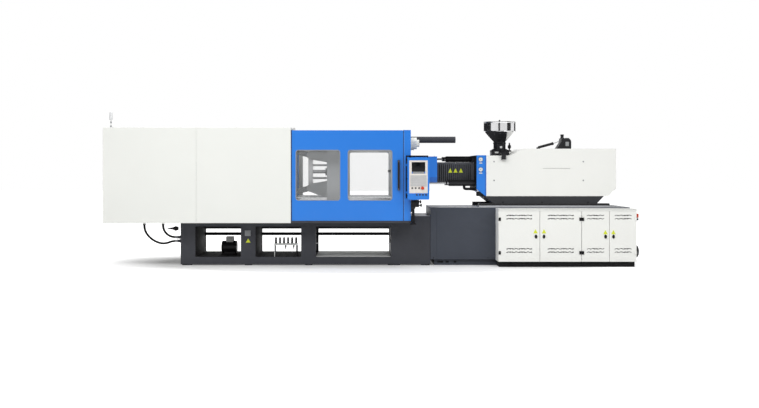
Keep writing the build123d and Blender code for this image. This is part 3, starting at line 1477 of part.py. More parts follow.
def screw():
    """The screw: a tip, a root with flights and a plain shank into the drive."""
    x0 = barrel_start + SCREW_GAP
    x1 = RAM_X
    point = Cone(NOZZLE_HOLE_R, SCREW_ROOT_R, SCREW_TIP_L)
    tip = Pos(x0 + SCREW_TIP_L / 2, 0, AXIS_Z) * Rot(0, 90, 0) * point
    body = tip + rod_x(x0 + SCREW_TIP_L, x1 - RUN_GAP, 0, AXIS_Z, SCREW_ROOT_R)
    count = int((hopper_x - x0 - SCREW_TIP_L) // FLIGHT_PITCH)
    for n in range(count):
        x = x0 + SCREW_TIP_L + n * FLIGHT_PITCH
        body += rod_x(x, x + FLIGHT_L, 0, AXIS_Z, SCREW_R)
    body += rod_x(barrel_end - BARREL_TAIL, barrel_end, 0, AXIS_Z, SCREW_R)
    body += rod_x(x1 - RUN_GAP, x1 + RAM_T / 2, 0, AXIS_Z, SHANK_R)
    return body


def screw_drive():
    """The sliding drive block with the motor on top and the rods of the injection cylinders."""
    x0 = RAM_X
    x1 = x0 + RAM_T
    drive = block(x0, x1, -RAM_HALF, RAM_HALF, AXIS_Z - RAM_HALF_Z, AXIS_Z + RAM_HALF_Z)
    drive -= rod_x(x0, x0 + RAM_T / 2 + RUN_GAP, 0, AXIS_Z, SHANK_R + FIT_GAP)
    for y in (-INJECTION_CYL_Y, INJECTION_CYL_Y):
        rod_start = pedestal_right + BASE_WALL + PISTON_FRONT
        drive += rod_x(rod_start, x0, y, AXIS_Z, INJECTION_ROD_R)
    neck_x = x0 + RAM_T / 2
    motor_low = AXIS_Z + COVER_HIGH + MOTOR_GAP
    drive += block(neck_x - MOTOR_NECK_HALF, neck_x + MOTOR_NECK_HALF, -MOTOR_NECK_HALF, MOTOR_NECK_HALF,
                   AXIS_Z + RAM_HALF_Z, motor_low)
    top = motor_low + MOTOR_H
    outline = [
        (x0, motor_low),
        (x0 + MOTOR_SLOPE_X, motor_low + MOTOR_SLOPE_H),
        (x0 + MOTOR_SLOPE_X, top),
        (x1, top),
        (x1, motor_low),
    ]
    motor = profile_y(outline, -MOTOR_HALF_Y, MOTOR_HALF_Y)
    shoulder = motor.edges().filter_by(Axis.Y).sort_by(lambda edge: edge.center().X + edge.center().Z)[-1]
    motor = fillet(shoulder, MOTOR_SHOULDER)
    drive += motor
    stub_x = x0 + MOTOR_SLOPE_X + MOTOR_STUB_INSET + MOTOR_STUB_R
    return drive + rod_z(stub_x, 0, top, top + MOTOR_STUB_H, MOTOR_STUB_R)


def hopper():
    """The hopper: a throat block, a neck, a cone and a cylinder with a rolled rim."""
    base = AXIS_Z + HOPPER_BLOCK_BASE
    block_top = AXIS_Z + HOPPER_BLOCK_TOP
    half = HOPPER_BLOCK_HALF
    body = block(hopper_x - half, hopper_x + half, -half, half, base, block_top)
    wall = HOPPER_WALL
    neck_z = AXIS_Z + HOPPER_NECK
    shoulder_z = AXIS_Z + HOPPER_SHOULDER
    top_z = AXIS_Z + HOPPER_TOP
    body += rod_z(hopper_x, 0, block_top, neck_z, HOPPER_NECK_R)
    outer = Pos(hopper_x, 0, (neck_z + shoulder_z) / 2) * Cone(HOPPER_NECK_R, HOPPER_R, shoulder_z - neck_z)
    body += outer + rod_z(hopper_x, 0, shoulder_z, top_z, HOPPER_R)
    inner = Pos(hopper_x, 0, (neck_z + shoulder_z) / 2)
    inner *= Cone(HOPPER_NECK_R - HOPPER_NECK_WALL, HOPPER_R - wall, shoulder_z - neck_z)
    body -= inner
    body -= rod_z(hopper_x, 0, shoulder_z, top_z, HOPPER_R - wall)
    body -= rod_z(hopper_x, 0, base, neck_z, THROAT_R)
    chute_x0 = hopper_x - CHUTE_LEFT
    chute_top = base + CHUTE_T
    body += block(chute_x0, chute_x0 + CHUTE_W, -CHUTE_REACH, -half, base, chute_top)
    body += block(chute_x0, chute_x0 + CHUTE_W, -CHUTE_REACH, -CHUTE_REACH + CHUTE_LEG_T,
                  chute_top - CHUTE_DROP, chute_top)
    body += block(hopper_x + half, hopper_x + half + VALVE_REACH, -VALVE_HALF, VALVE_HALF,
                  block_top - VALVE_T, block_top)
    block_x = LID_HINGE_L + LID_HINGE_R
    block_y = sqrt(HOPPER_R**2 - block_x**2) - wall
    for x in (hopper_x - LID_HINGE_L, hopper_x + LID_HINGE_L):
        body += block(x - LID_HINGE_R, x + LID_HINGE_R, block_y, lid_axis_y + LID_HINGE_R,
                      top_z - LID_HINGE_H, top_z)
    body += rod_x(hopper_x - block_x, hopper_x + block_x, lid_axis_y, lid_axis_z, LID_HINGE_R / 2)
    body -= rod_z(hopper_x, 0, shoulder_z, top_z, HOPPER_R - wall)
    return body


def hopper_lid():
    """A flat round lid with a knob and a hinge sleeve that hooks behind the rim."""
    low = AXIS_Z + HOPPER_TOP + RUN_GAP
    high = low + LID_T
    lid = rod_z(hopper_x, 0, low, high, HOPPER_R)
    half = LID_HINGE_L - LID_HINGE_R - SEAM_GAP
    sleeve_r = LID_HINGE_R - RUN_GAP
    lid += block(hopper_x - half, hopper_x + half, 0, lid_axis_y + sleeve_r, low, high)
    lid += block(hopper_x - half, hopper_x + half, lid_axis_y - sleeve_r, lid_axis_y + sleeve_r,
                 lid_axis_z, high)
    lid += rod_x(hopper_x - half, hopper_x + half, lid_axis_y, lid_axis_z, sleeve_r)
    lid -= rod_x(hopper_x - half, hopper_x + half, lid_axis_y, lid_axis_z, LID_HINGE_R / 2 + FIT_GAP)
    return lid + rod_z(hopper_x, 0, high, high + LID_KNOB_H, LID_KNOB_R)


def pump_motor():
    """The pump's motor standing on the cross beam level, with its terminal box and foot."""
    x0 = bays[0][0] + PUMP_FOOT_X
    x1 = x0 + PUMP_L
    low = FOOT_H + BEAM_LOW_H
    z = low + PUMP_R
    body = rod_x(x0, x1, 0, z, PUMP_R)
    half = PUMP_R - PUMP_FOOT
    body += block(x0 + PUMP_FOOT, x1 - PUMP_FOOT, -half, half, low, z)
    top = z + PUMP_R
    middle = (x0 + x1) / 2
    body += block(middle - PUMP_BOX_L / 2, middle + PUMP_BOX_L / 2, -PUMP_BOX_L / 2, PUMP_BOX_L / 2,
                  z, top + PUMP_BOX_H)
    return body


def water_manifold():
    """A cooling water manifold on two legs, and the return pipe behind it."""
    x0 = bays[1][0] + MANIFOLD_X
    x1 = x0 + MANIFOLD_L
    y = -frame_half + MANIFOLD_Y
    low = FOOT_H + BEAM_LOW_H
    half = MANIFOLD_H / 2
    bar = block(x0, x1, y - half, y + half, MANIFOLD_Z - half, MANIFOLD_Z + half)
    for x in (x0, x1 - MANIFOLD_LEG_W):
        bar += block(x, x + MANIFOLD_LEG_W, y - half, y + half, low, MANIFOLD_Z)
    pitch = (MANIFOLD_L - 2 * MANIFOLD_LEG_W) / (STUB_COUNT - 1)
    for n in range(STUB_COUNT):
        x = x0 + MANIFOLD_LEG_W + n * pitch
        bar += rod_z(x, y, MANIFOLD_Z, MANIFOLD_Z + half + STUB_H, STUB_R)
    pipe = rod_x(base_left + LEG_W / 2, section_left, pipe_y, PIPE_Z, PIPE_R)
    return group([bar, pipe])


def hose_ends(route):
    """The point where a hose enters the leg, as a place across the machine and a height."""
    return route[-1][1], route[-1][2]


def fitting_places():
    return [hose_ends(LONG_HOSE), hose_ends(SHORT_HOSE)]


def hose_sockets():
    """The sockets under the end cover that the two hoses hang from."""
    sockets = []
    for route in (LONG_HOSE, SHORT_HOSE):
        x, y, z = route[0]
        sockets.append(rod_z(x, y, z, BASE_TOP, FITTING_R))
    return sockets


def hose(route):
    """A tube along straight runs joined by arcs as large as the runs allow."""
    points = [Vector(*point) for point in route]
    radii = []
    for before, corner, after in zip(points, points[1:], points[2:]):
        run_in = corner - before
        run_out = after - corner
        half_turn = radians(run_in.get_angle(run_out)) / 2
        radii.append(HOSE_ARC * min(run_in.length, run_out.length) / tan(half_turn))
    print("hose radii", [round(radius) for radius in radii])
    path = FilletPolyline(*points, radius=radii)
    print("hose length", round(path.length))
    start = Plane(origin=path @ 0, z_dir=path % 0)
    tube = sweep(start * Circle(HOSE_R), path=path)
    print("hose volume share", tube.volume / (path.length * pi * HOSE_R**2))
    return tube


def all_nodes():
    """Every piece of the machine by name."""
    upper_rear = rear_links()
    upper_front = front_links()
    upper_short = short_links()
    door = front_door()
    panes = front_door_panes()
    end_cover = clamp_end_cover()
    for socket in hose_sockets():
        end_cover += socket
    buttons = button_places()
    return {
        "clamp_base_frame": clamp_base_frame(),
        "discharge_tray": discharge_tray(),
        "fixed_platen": fixed_platen(),
        "moving_platen": moving_platen(),
        "ejector_plate": ejector_plate(),
        "tailstock_platen": tailstock_platen(),
        "tie_bars": tie_bars(),
        "tie_bar_nuts": tie_bar_nuts(),
        "rear_link_upper": upper_rear,
        "rear_link_lower": lower(upper_rear),
        "front_link_upper": upper_front,
        "front_link_lower": lower(upper_front),
        "short_link_upper": upper_short,
        "short_link_lower": lower(upper_short),
        "crosshead": crosshead(),
        "clamp_cylinder": clamp_cylinder(),
        "safety_bar": safety_bar(),
        "safety_bar_sleeve": safety_bar_sleeve(),
        "clamp_end_cover": end_cover,
        "toggle_cover": toggle_cover(),
        "signal_lamp": signal_lamp(),
        "front_door": door,
        "front_door_panes": panes,
        "front_door_handle": front_door_handle(),
        "rear_door": to_back(door),
        "rear_door_panes": to_back(panes),
        "door_tracks": door_tracks(),
        "fixed_guards": fixed_guards(),
        "nozzle_guard": nozzle_guard(),
        "hmi_bracket": hmi_bracket(),
        "hmi_housing": hmi_housing(),
        "emergency_stop": emergency_stop(),
        "start_button": push_button(buttons[0]),
        "reset_button": push_button(buttons[1]),
        "motor_button": push_button(buttons[2]),
        "injection_base": injection_base(),
        "injection_rails": injection_rails(),
        "cabinet_shell": cabinet_shell(),
        "cabinet_door_1": cabinet_door(0),
        "cabinet_door_2": cabinet_door(1),
        "cabinet_door_3": cabinet_door(2),
        "cabinet_door_4": cabinet_door(3),
        "electrical_panel": electrical_panel(),
        "main_switch": main_switch(),
        "fan_cowl": fan_cowl(),
        "carriage_frame": carriage_frame(),
        "carriage_front_panel": carriage_front_panel(),
        "carriage_cover": carriage_cover(),
        "traverse_cylinders": traverse_cylinders(),
        "traverse_rods": traverse_rods(),
        "barrel": barrel(),
        "barrel_heat_cover": barrel_heat_cover(),
        "screw": screw(),
        "screw_drive": screw_drive(),
        "hopper": hopper(),
        "hopper_lid": hopper_lid(),
        "pump_motor": pump_motor(),
        "water_manifold": water_manifold(),
        "hose_long": hose(LONG_HOSE),
        "hose_short": hose(SHORT_HOSE),
    }


def main():
    """Write every piece as a file of its own."""
    os.makedirs("parts", exist_ok=True)
    for name, shape in all_nodes().items():
        export_step(Pos(-middle_x, -middle_y, 0) * shape, f"parts/{name}.step")


if __name__ == "__main__":
    main()
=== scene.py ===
"""Looks of the injection moulding machine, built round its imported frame.

Sizes are metres in the frame's own axes: X along the machine, Y to its back, Z up from the floor.
"""

from math import cos, pi, radians, sin

import bmesh
import bpy
from mathutils import Matrix, Vector


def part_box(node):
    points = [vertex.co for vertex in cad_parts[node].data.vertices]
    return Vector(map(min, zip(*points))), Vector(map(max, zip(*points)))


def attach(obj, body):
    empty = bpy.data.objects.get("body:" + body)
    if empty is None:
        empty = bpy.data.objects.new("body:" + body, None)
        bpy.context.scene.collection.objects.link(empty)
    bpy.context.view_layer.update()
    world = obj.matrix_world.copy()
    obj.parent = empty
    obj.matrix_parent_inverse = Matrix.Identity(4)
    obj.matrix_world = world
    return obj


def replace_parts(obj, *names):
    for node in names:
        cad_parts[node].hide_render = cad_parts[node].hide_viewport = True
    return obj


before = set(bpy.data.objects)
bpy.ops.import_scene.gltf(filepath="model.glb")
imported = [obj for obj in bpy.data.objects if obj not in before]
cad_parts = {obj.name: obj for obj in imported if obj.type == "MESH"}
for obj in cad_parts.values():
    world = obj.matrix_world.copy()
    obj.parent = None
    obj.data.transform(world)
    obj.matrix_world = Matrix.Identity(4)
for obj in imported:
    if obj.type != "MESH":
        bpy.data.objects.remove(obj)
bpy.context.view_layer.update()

# The photograph: its frame in pixels, its point of sight and its focal length
PICTURE_W = 759
PICTURE_H = 408
SIGHT_X = 361
SIGHT_Y = 170
FOCAL_PX = 1080.7
SENSOR = 36
CAMERA_X = -0.170
CAMERA_Y = -17.467
CAMERA_Z = 1.494

# Places taken from the frame
face_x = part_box("fixed_platen")[0].x
middle_y = (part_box("tie_bars")[0].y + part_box("tie_bars")[1].y) / 2
axis_z = (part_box("tie_bars")[0].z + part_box("tie_bars")[1].z) / 2
MM = 0.001


def at(x, y, z):
    """A point in millimetres from the fixed platen's mould face, the machine's middle and the floor."""
    return Vector((face_x + x * MM, middle_y + y * MM, z * MM))


def span(node):
    """A node's box in those millimetres: its low and high x, then y, then z."""
    low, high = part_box(node)
    return (
        (low.x - face_x) / MM, (high.x - face_x) / MM,
        (low.y - middle_y) / MM, (high.y - middle_y) / MM,
        low.z / MM, high.z / MM,
    )


def centre(node):
    """The middle of a node's box, in the same millimetres."""
    x0, x1, y0, y1, z0, z1 = span(node)
    return (x0 + x1) / 2, (y0 + y1) / 2, (z0 + z1) / 2


def spread(start, end, count):
    """That many values at even steps, from start to end."""
    return [start + n * (end - start) / (count - 1) for n in range(count)]


def blunt(radius, length, along, fall):
    """The outline of a round bar that falls away at both ends, for the shapes below."""
    return [(0, radius - fall), (along, radius), (length - along, radius), (length, radius - fall)]


def mesh_data(name, mesh):
    """A finished mesh as the scene's own data."""
    data = bpy.data.meshes.new(name)
    mesh.to_mesh(data)
    mesh.free()
    return data


def in_scene(name, data):
    """A new object of that data, linked to the scene."""
    made = bpy.data.objects.new(name, data)
    bpy.context.scene.collection.objects.link(made)
    return made


def make_camera():
    data = bpy.data.cameras.new("camera")
    data.sensor_width = SENSOR
    data.lens = SENSOR * FOCAL_PX / PICTURE_W
    data.shift_x = (PICTURE_W / 2 - SIGHT_X) / PICTURE_W
    data.shift_y = (SIGHT_Y - PICTURE_H / 2) / PICTURE_W
    camera = in_scene("camera", data)
    camera.location = (CAMERA_X, CAMERA_Y, CAMERA_Z)
    camera.rotation_euler = (radians(90), 0, 0)
    bpy.context.scene.camera = camera


# Materials


class Finish:
    """A node material being put together, with short ways to add its textures."""

    def __init__(self, name, colour, rough, metallic=0.0, specular=0.5):
        self.material = bpy.data.materials.new(name)
        self.material.use_nodes = True
        self.nodes = self.material.node_tree.nodes
        self.links = self.material.node_tree.links
        self.shader = self.nodes["Principled BSDF"]
        self.shader.inputs["Base Color"].default_value = (*colour, 1)
        self.shader.inputs["Roughness"].default_value = rough
        self.shader.inputs["Metallic"].default_value = metallic
        self.shader.inputs["Specular IOR Level"].default_value = specular
        self.colour = colour
        self.rough = rough
        self.place = self.nodes.new("ShaderNodeTexCoord").outputs["Object"]
        self.normal = None

    def stretch(self, x, y, z):
        """Object coordinates scaled along each axis, for brushed and ribbed surfaces."""
        mapping = self.nodes.new("ShaderNodeMapping")
        mapping.inputs["Scale"].default_value = (x, y, z)
        self.links.new(self.place, mapping.inputs["Vector"])
        return mapping.outputs["Vector"]

    def noise(self, scale, detail=2.0, place=None):
        texture = self.nodes.new("ShaderNodeTexNoise")
        texture.inputs["Scale"].default_value = scale
        texture.inputs["Detail"].default_value = detail
        self.links.new(place or self.place, texture.inputs["Vector"])
        return texture.outputs["Fac"]

    def span(self, value, low, high, start=0.3, end=0.7):
        """The value spread from low to high."""
        ramp = self.nodes.new("ShaderNodeMapRange")
        ramp.inputs["From Min"].default_value = start
        ramp.inputs["From Max"].default_value = end
        ramp.inputs["To Min"].default_value = low
        ramp.inputs["To Max"].default_value = high
        self.links.new(value, ramp.inputs["Value"])
        return ramp.outputs["Result"]

    def mix(self, share, first, second):
        """A colour between two, each a tuple or a socket."""
        node = self.nodes.new("ShaderNodeMix")
        node.data_type = "RGBA"
        self.links.new(share, node.inputs["Factor"])
        for socket, value in ((node.inputs["A"], first), (node.inputs["B"], second)):
            if isinstance(value, tuple):
                socket.default_value = (*value, 1)
            else:
                self.links.new(value, socket)
        return node.outputs["Result"]

    def tone(self, value, share):
        """The base colour drifts by that share with the value."""
        darker = tuple(c * (1 - share) for c in self.colour)
        self.links.new(self.mix(value, darker, self.colour), self.shader.inputs["Base Color"])

    def patches(self, scale, detail, share):
        """The base colour drifts by that share in soft patches."""
        self.tone(self.span(self.noise(scale, detail), 0, 1), share)

    def roughness(self, value, swing):
        """The roughness goes up and down by that much with the value."""
        low = max(self.rough - swing, 0.02)
        self.links.new(self.span(value, low, self.rough + swing), self.shader.inputs["Roughness"])

    def bump(self, value, strength, distance):
        node = self.nodes.new("ShaderNodeBump")
        node.inputs["Strength"].default_value = strength
        node.inputs["Distance"].default_value = distance
        self.links.new(value, node.inputs["Height"])
        if self.normal:
            self.links.new(self.normal, node.inputs["Normal"])
        self.normal = node.outputs["Normal"]
        self.links.new(self.normal, self.shader.inputs["Normal"])

    def soft_edges(self, radius):
        """Edges catch the light as if they were broken by that radius."""
        node = self.nodes.new("ShaderNodeBevel")
        node.samples = 4
        node.inputs["Radius"].default_value = radius
        self.normal = node.outputs["Normal"]
        self.links.new(self.normal, self.shader.inputs["Normal"])


def powder_coat(name, colour, rough=0.42, drift=0.03, peel=0.12, edge=0.003):
    """Powder coat on sheet: an even tone, a fine orange peel and soft folded edges."""
    finish = Finish(name, colour, rough)
    finish.soft_edges(edge)
    finish.patches(0.7, 3, drift)
    finish.roughness(finish.noise(9, 4), 0.05)
    finish.bump(finish.noise(420, 1), peel, 0.0006)
    return finish.material


def machine_paint(name, colour, rough=0.5, drift=0.12, edge=0.004):
    """Enamel on welded or cast steel: dust in soft patches, brush and roller texture, rubbed tone."""
    finish = Finish(name, colour, rough, specular=0.22)
    finish.soft_edges(edge)
    finish.patches(3.1, 6, drift)
    finish.roughness(finish.noise(24, 5), 0.1)
    finish.bump(finish.noise(55, 5), 0.18, 0.0012)
    return finish.material


def turned_steel(name, colour, rough, stretch, edge=0.002):
    """Bare metal with tool marks drawn out along one axis and a little tarnish."""
    finish = Finish(name, colour, rough, 1.0)
    finish.soft_edges(edge)
    lines = finish.noise(60, 3, finish.stretch(*stretch))
    finish.patches(5, 4, 0.18)
    finish.roughness(lines, 0.1)
    finish.bump(lines, 0.06, 0.0006)
    return finish.material


def cast_metal(name, colour, rough=0.55):
    """Cast iron: a sandy skin with darker pores."""
    finish = Finish(name, colour, rough, 0.6)
    finish.soft_edges(0.004)
    finish.patches(18, 6, 0.3)
    finish.roughness(finish.noise(40, 4), 0.12)
    finish.bump(finish.noise(160, 4), 0.35, 0.0015)
    return finish.material


def moulded_plastic(name, colour, rough=0.4, grain=0.1, edge=0.0015):
    """Moulded plastic with a fine even grain."""
    finish = Finish(name, colour, rough)
    finish.soft_edges(edge)
    finish.patches(12, 3, 0.08)
    finish.roughness(finish.noise(90, 2), 0.06)
    finish.bump(finish.noise(900, 1), grain, 0.0003)
    return finish.material


def clear_sheet(name, colour, alpha, rough=0.05):
    """Clear plastic sheet, thin enough to let the light through, with fine scuffs."""
    finish = Finish(name, colour, rough)
    finish.shader.inputs["Alpha"].default_value = alpha
    finish.shader.inputs["IOR"].default_value = 1.49
    scuffs = finish.noise(14, 6, finish.stretch(1, 1, 5))
    finish.roughness(scuffs, 0.03)
    finish.tone(finish.span(scuffs, 0, 1), 0.05)
    return finish.material


def zinc_sheet(name, colour, rough=0.38):
    """Zinc coated sheet with faint crystals."""
    finish = Finish(name, colour, rough, 0.85)
    cells = finish.nodes.new("ShaderNodeTexVoronoi")
    cells.inputs["Scale"].default_value = 45
    finish.links.new(finish.place, cells.inputs["Vector"])
    shade = finish.span(cells.outputs["Color"], 0, 1, 0, 1)
    finish.tone(shade, 0.12)
    finish.roughness(shade, 0.06)
    return finish.material


def screen_glass(name, colour, rough=0.12):
    """The glossy face of a switched-off screen, with a faint smear."""
    finish = Finish(name, colour, rough, specular=0.15)
    finish.patches(8, 3, 0.1)
    finish.roughness(finish.noise(5, 4), 0.05)
    return finish.material


def hose_rubber(name, colour, rough=0.62):
    """Hose cover with the weave of the cloth it was cured in."""
    finish = Finish(name, colour, rough, specular=0.1)
    weave = finish.nodes.new("ShaderNodeTexWave")
    weave.inputs["Scale"].default_value = 260
    weave.inputs["Distortion"].default_value = 1.2
    weave.inputs["Detail Scale"].default_value = 2
    finish.links.new(finish.place, weave.inputs["Vector"])
    finish.patches(30, 4, 0.25)
    finish.roughness(finish.noise(60, 3), 0.08)
    finish.bump(weave.outputs["Fac"], 0.25, 0.0006)
    return finish.material


# Shapes


class Shape:
    """A mesh put together in millimetres from the mould face, the machine's middle and the floor."""

    def __init__(self):
        self.mesh = bmesh.new()

    def box(self, x0, x1, y0, y1, z0, z1, edge=0.0):
        """A box with its edges broken by that much."""
        made = bmesh.ops.create_cube(self.mesh, size=1)["verts"]
        bmesh.ops.scale(self.mesh, vec=(x1 - x0, y1 - y0, z1 - z0), verts=made)
        bmesh.ops.translate(self.mesh, vec=((x0 + x1) / 2, (y0 + y1) / 2, (z0 + z1) / 2), verts=made)
        if edge:
            self.soften({e for v in made for e in v.link_edges}, edge)
        return self

    def soften(self, edges, width):
        bmesh.ops.bevel(self.mesh, geom=list(edges), offset=width, segments=2, profile=0.5, affect="EDGES")

    def turned(self, foot, axis, outline, steps=32, hollow=False):
        """A body of revolution from foot along axis. The outline is (distance along, radius) pairs.

        A hollow one runs up the outside and down the inside, and closes on itself instead of at its ends.
        """
        along = Vector(axis).normalized()
        across = along.orthogonal().normalized()
        other = along.cross(across)
        rings = []
        for distance, radius in outline:
            hub = Vector(foot) + along * distance
            ring = []
            for n in range(steps):
                angle = 2 * pi * (n + 0.5) / steps
                out = across * cos(angle) + other * sin(angle)
                ring.append(self.mesh.verts.new(hub + out * radius))
            rings.append(ring)
        pairs = list(zip(rings, rings[1:]))
        if hollow:
            pairs.append((rings[-1], rings[0]))
        for low, high in pairs:
            for n in range(steps):
                after = (n + 1) % steps
                self.mesh.faces.new((low[n], low[after], high[after], high[n]))
        if not hollow:
            self.mesh.faces.new(rings[0][::-1])
            self.mesh.faces.new(rings[-1])
        return self

    def turned_at(self, places, axis, outline, steps=32):
        """The same turned part at every place."""
        for place in places:
            self.turned(place, axis, outline, steps)
        return self

    def rod(self, foot, axis, length, radius, edge=1.0, steps=32):
        """A round bar with its ends chamfered."""
        return self.turned(foot, axis, blunt(radius, length, edge, edge), steps)

    def bolt(self, foot, axis, size):
        """A hexagon head on a washer, for a screw of that size."""
        washer = size * 0.2
        flats = size * 0.84
        self.turned(foot, axis, [(0, size), (washer, size)], 20)
        head = [(washer, flats), (size * 0.75, flats), (size * 0.85, size * 0.72)]
        return self.turned(foot, axis, head, 6)

    def bolts(self, places, axis, size):
        """The same hexagon screw at every place."""
        for place in places:
            self.bolt(place, axis, size)
        return self

    def prism(self, outline, push, edge=0.0):
        """A flat outline of points, pushed along a vector."""
        face = self.mesh.faces.new([self.mesh.verts.new(p) for p in outline])
        made = bmesh.ops.extrude_face_region(self.mesh, geom=[face])["geom"]
        moved = [g for g in made if isinstance(g, bmesh.types.BMVert)]
        bmesh.ops.translate(self.mesh, vec=push, verts=moved)
        if edge:
            self.soften({e for v in moved for e in v.link_edges} | set(face.edges), edge)
        return self

    def frame_y(self, x0, x1, z0, z1, y, deep, wide, corner, steps=6):
        """A flat ring round an opening seen along Y: its inner edge is the rectangle with round corners."""
        rings = []
        for grow in (0, wide):
            outline = round_corners(x0 - grow, x1 + grow, z0 - grow, z1 + grow, corner + grow, steps)
            for depth in (0, deep):
                rings.append([self.mesh.verts.new((px, y + depth, pz)) for px, pz in outline])
        inner_front, inner_back, outer_front, outer_back = rings
        loop = (outer_front, outer_back, inner_back, inner_front, outer_front)
        count = len(inner_front)
        for first, second in zip(loop, loop[1:]):
            for n in range(count):
                after = (n + 1) % count
                self.mesh.faces.new((first[n], first[after], second[after], second[n]))
        return self

    def piece(self, name, material, body="machine", sharp=32):
        """The finished piece, riding on its body."""
        bmesh.ops.recalc_face_normals(self.mesh, faces=self.mesh.faces)
        self.mesh.transform(Matrix.Translation(at(0, 0, 0)) @ Matrix.Scale(MM, 4))
        data = mesh_data(name, self.mesh)
        data.polygons.foreach_set("use_smooth", [True] * len(data.polygons))
        data.set_sharp_from_angle(angle=radians(sharp))
        data.materials.append(material)
        made = in_scene(name, data)
        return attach(made, body)


def slab(name, material, body="machine", box=()):
    """A piece that is a single box, given as its two x, its two y, its two z and its broken edge."""
    return Shape().box(*box).piece(name, material, body)


def round_corners(x0, x1, z0, z1, radius, steps=6):
    """The outline of a rectangle with round corners."""
    points = []
    for cx, cz, turn in (
        (x1 - radius, z1 - radius, 0), (x0 + radius, z1 - radius, 90),
        (x0 + radius, z0 + radius, 180), (x1 - radius, z0 + radius, 270),
    ):
        for n in range(steps + 1):
            angle = radians(turn + 90 * n / steps)
            points.append((cx + radius * cos(angle), cz + radius * sin(angle)))
    return points


def pipe(name, points, radius, material, body, order=3):
    """A bent pipe along a smooth line through its points, in millimetres like the shapes."""
    data = bpy.data.curves.new(name, "CURVE")
    data.dimensions = "3D"
    data.bevel_depth = radius * MM
    data.bevel_resolution = 5
    data.resolution_u = 10
    data.use_fill_caps = True
    line = data.splines.new("NURBS")
    line.points.add(len(points) - 1)
    for control, point in zip(line.points, points):
        control.co = (*at(*point), 1)
    line.order_u = order
    line.use_endpoint_u = True
    data.materials.append(material)
    made = in_scene(name, data)
    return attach(made, body)


def dress(material, *names):
    """CAD nodes that keep their shape take this material."""
    for name in names:
        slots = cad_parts[name].data.materials
        slots.clear()
        slots.append(material)


# Studio

FLOOR_HALF = 60
FLOOR_LIFT = 0.12
FLOOR_DROP = 0.001
FLOOR_FADE = (0.75, 1.1)
FLOOR_COLOUR = (0.8, 0.8, 0.8)
WHITE = (1, 1, 1, 1)
FLOOR_SHADE_X = 4.55
FLOOR_SHADE_Y = 2.35
CLOSE_WHITE = 1.0
WORLD_LIGHT = 0.30


def join(tree, operation, first, second):
    """One number worked out from two sockets."""
    node = tree.nodes.new("ShaderNodeMath")
    node.operation = operation
    tree.links.new(first, node.inputs[0])
    tree.links.new(second, node.inputs[1])
    return node.outputs[0]


def camera_sees(tree):
    """1 for rays that go to the camera, straight or by way of gloss or glass, and 0 for light."""
    path = tree.nodes.new("ShaderNodeLightPath")
    total = path.outputs["Is Camera Ray"]
    for kind in ("Is Glossy Ray", "Is Transmission Ray"):
        total = join(tree, "MAXIMUM", total, path.outputs[kind])
    return total


def make_world():
    """A white room for the camera and for reflections, at a plain level for the light."""
    world = bpy.data.worlds.new("studio")
    world.use_nodes = True
    bpy.context.scene.world = world
    bpy.context.scene.view_settings.view_transform = "Standard"
    tree = world.node_tree
    light = tree.nodes["Background"]
    light.inputs["Color"].default_value = WHITE
    light.inputs["Strength"].default_value = WORLD_LIGHT
    seen = tree.nodes.new("ShaderNodeBackground")
    seen.inputs["Color"].default_value = WHITE
    seen.inputs["Strength"].default_value = CLOSE_WHITE
    blend = tree.nodes.new("ShaderNodeMixShader")
    tree.links.new(camera_sees(tree), blend.inputs["Fac"])
    tree.links.new(light.outputs[0], blend.inputs[1])
    tree.links.new(seen.outputs[0], blend.inputs[2])
    tree.links.new(blend.outputs[0], tree.nodes["World Output"].inputs["Surface"])


def make_floor():
    """A pale floor that keeps the machine's shadow and otherwise runs out into the white."""
    mesh = bmesh.new()
    bmesh.ops.create_grid(mesh, x_segments=1, y_segments=1, size=FLOOR_HALF)
    floor = in_scene("floor", mesh_data("floor", mesh))
    floor.location.z = -FLOOR_DROP
    finish = Finish("floor", FLOOR_COLOUR, 0.9, specular=0)
    finish.patches(0.4, 2, 0.01)
    tree = finish.material.node_tree
    glow = tree.nodes.new("ShaderNodeEmission")
    glow.inputs["Color"].default_value = WHITE
    away = tree.nodes.new("ShaderNodeVectorMath")
    away.operation = "LENGTH"
    tree.links.new(finish.stretch(1 / FLOOR_SHADE_X, 1 / FLOOR_SHADE_Y, 0), away.inputs[0])
    fade = finish.span(away.outputs["Value"], FLOOR_LIFT, 1, *FLOOR_FADE)
    tree.links.new(join(tree, "MULTIPLY", camera_sees(tree), fade), glow.inputs["Strength"])
    both = tree.nodes.new("ShaderNodeAddShader")
    tree.links.new(finish.shader.outputs[0], both.inputs[0])
    tree.links.new(glow.outputs[0], both.inputs[1])
    tree.links.new(both.outputs[0], tree.nodes["Material Output"].inputs["Surface"])
    floor.data.materials.append(finish.material)


def soft_box(name, place, aim, width, height, watts):
    """A large soft lamp at a place, turned towards a point."""
    data = bpy.data.lights.new(name, "AREA")
    data.shape = "RECTANGLE"
    data.size = width
    data.size_y = height
    data.energy = watts
    lamp = in_scene(name, data)
    lamp.location = place
    lamp.rotation_euler = (Vector(aim) - Vector(place)).to_track_quat("-Z", "Y").to_euler()
    lamp.visible_glossy = False


def make_lamps():
    soft_box("key", place=(-4.5, -9, 8), aim=(0, 0, 1), width=8, height=4, watts=600)
    soft_box("fill", place=(6, -9, 6.5), aim=(0, 0, 1), width=8, height=4, watts=380)
    soft_box("top", place=(0, 0.5, 8.5), aim=(0, 0, 0), width=10, height=4, watts=350)
    soft_box("back", place=(0, 9, 5), aim=(0, 0, 1), width=9, height=4, watts=260)


# Cords

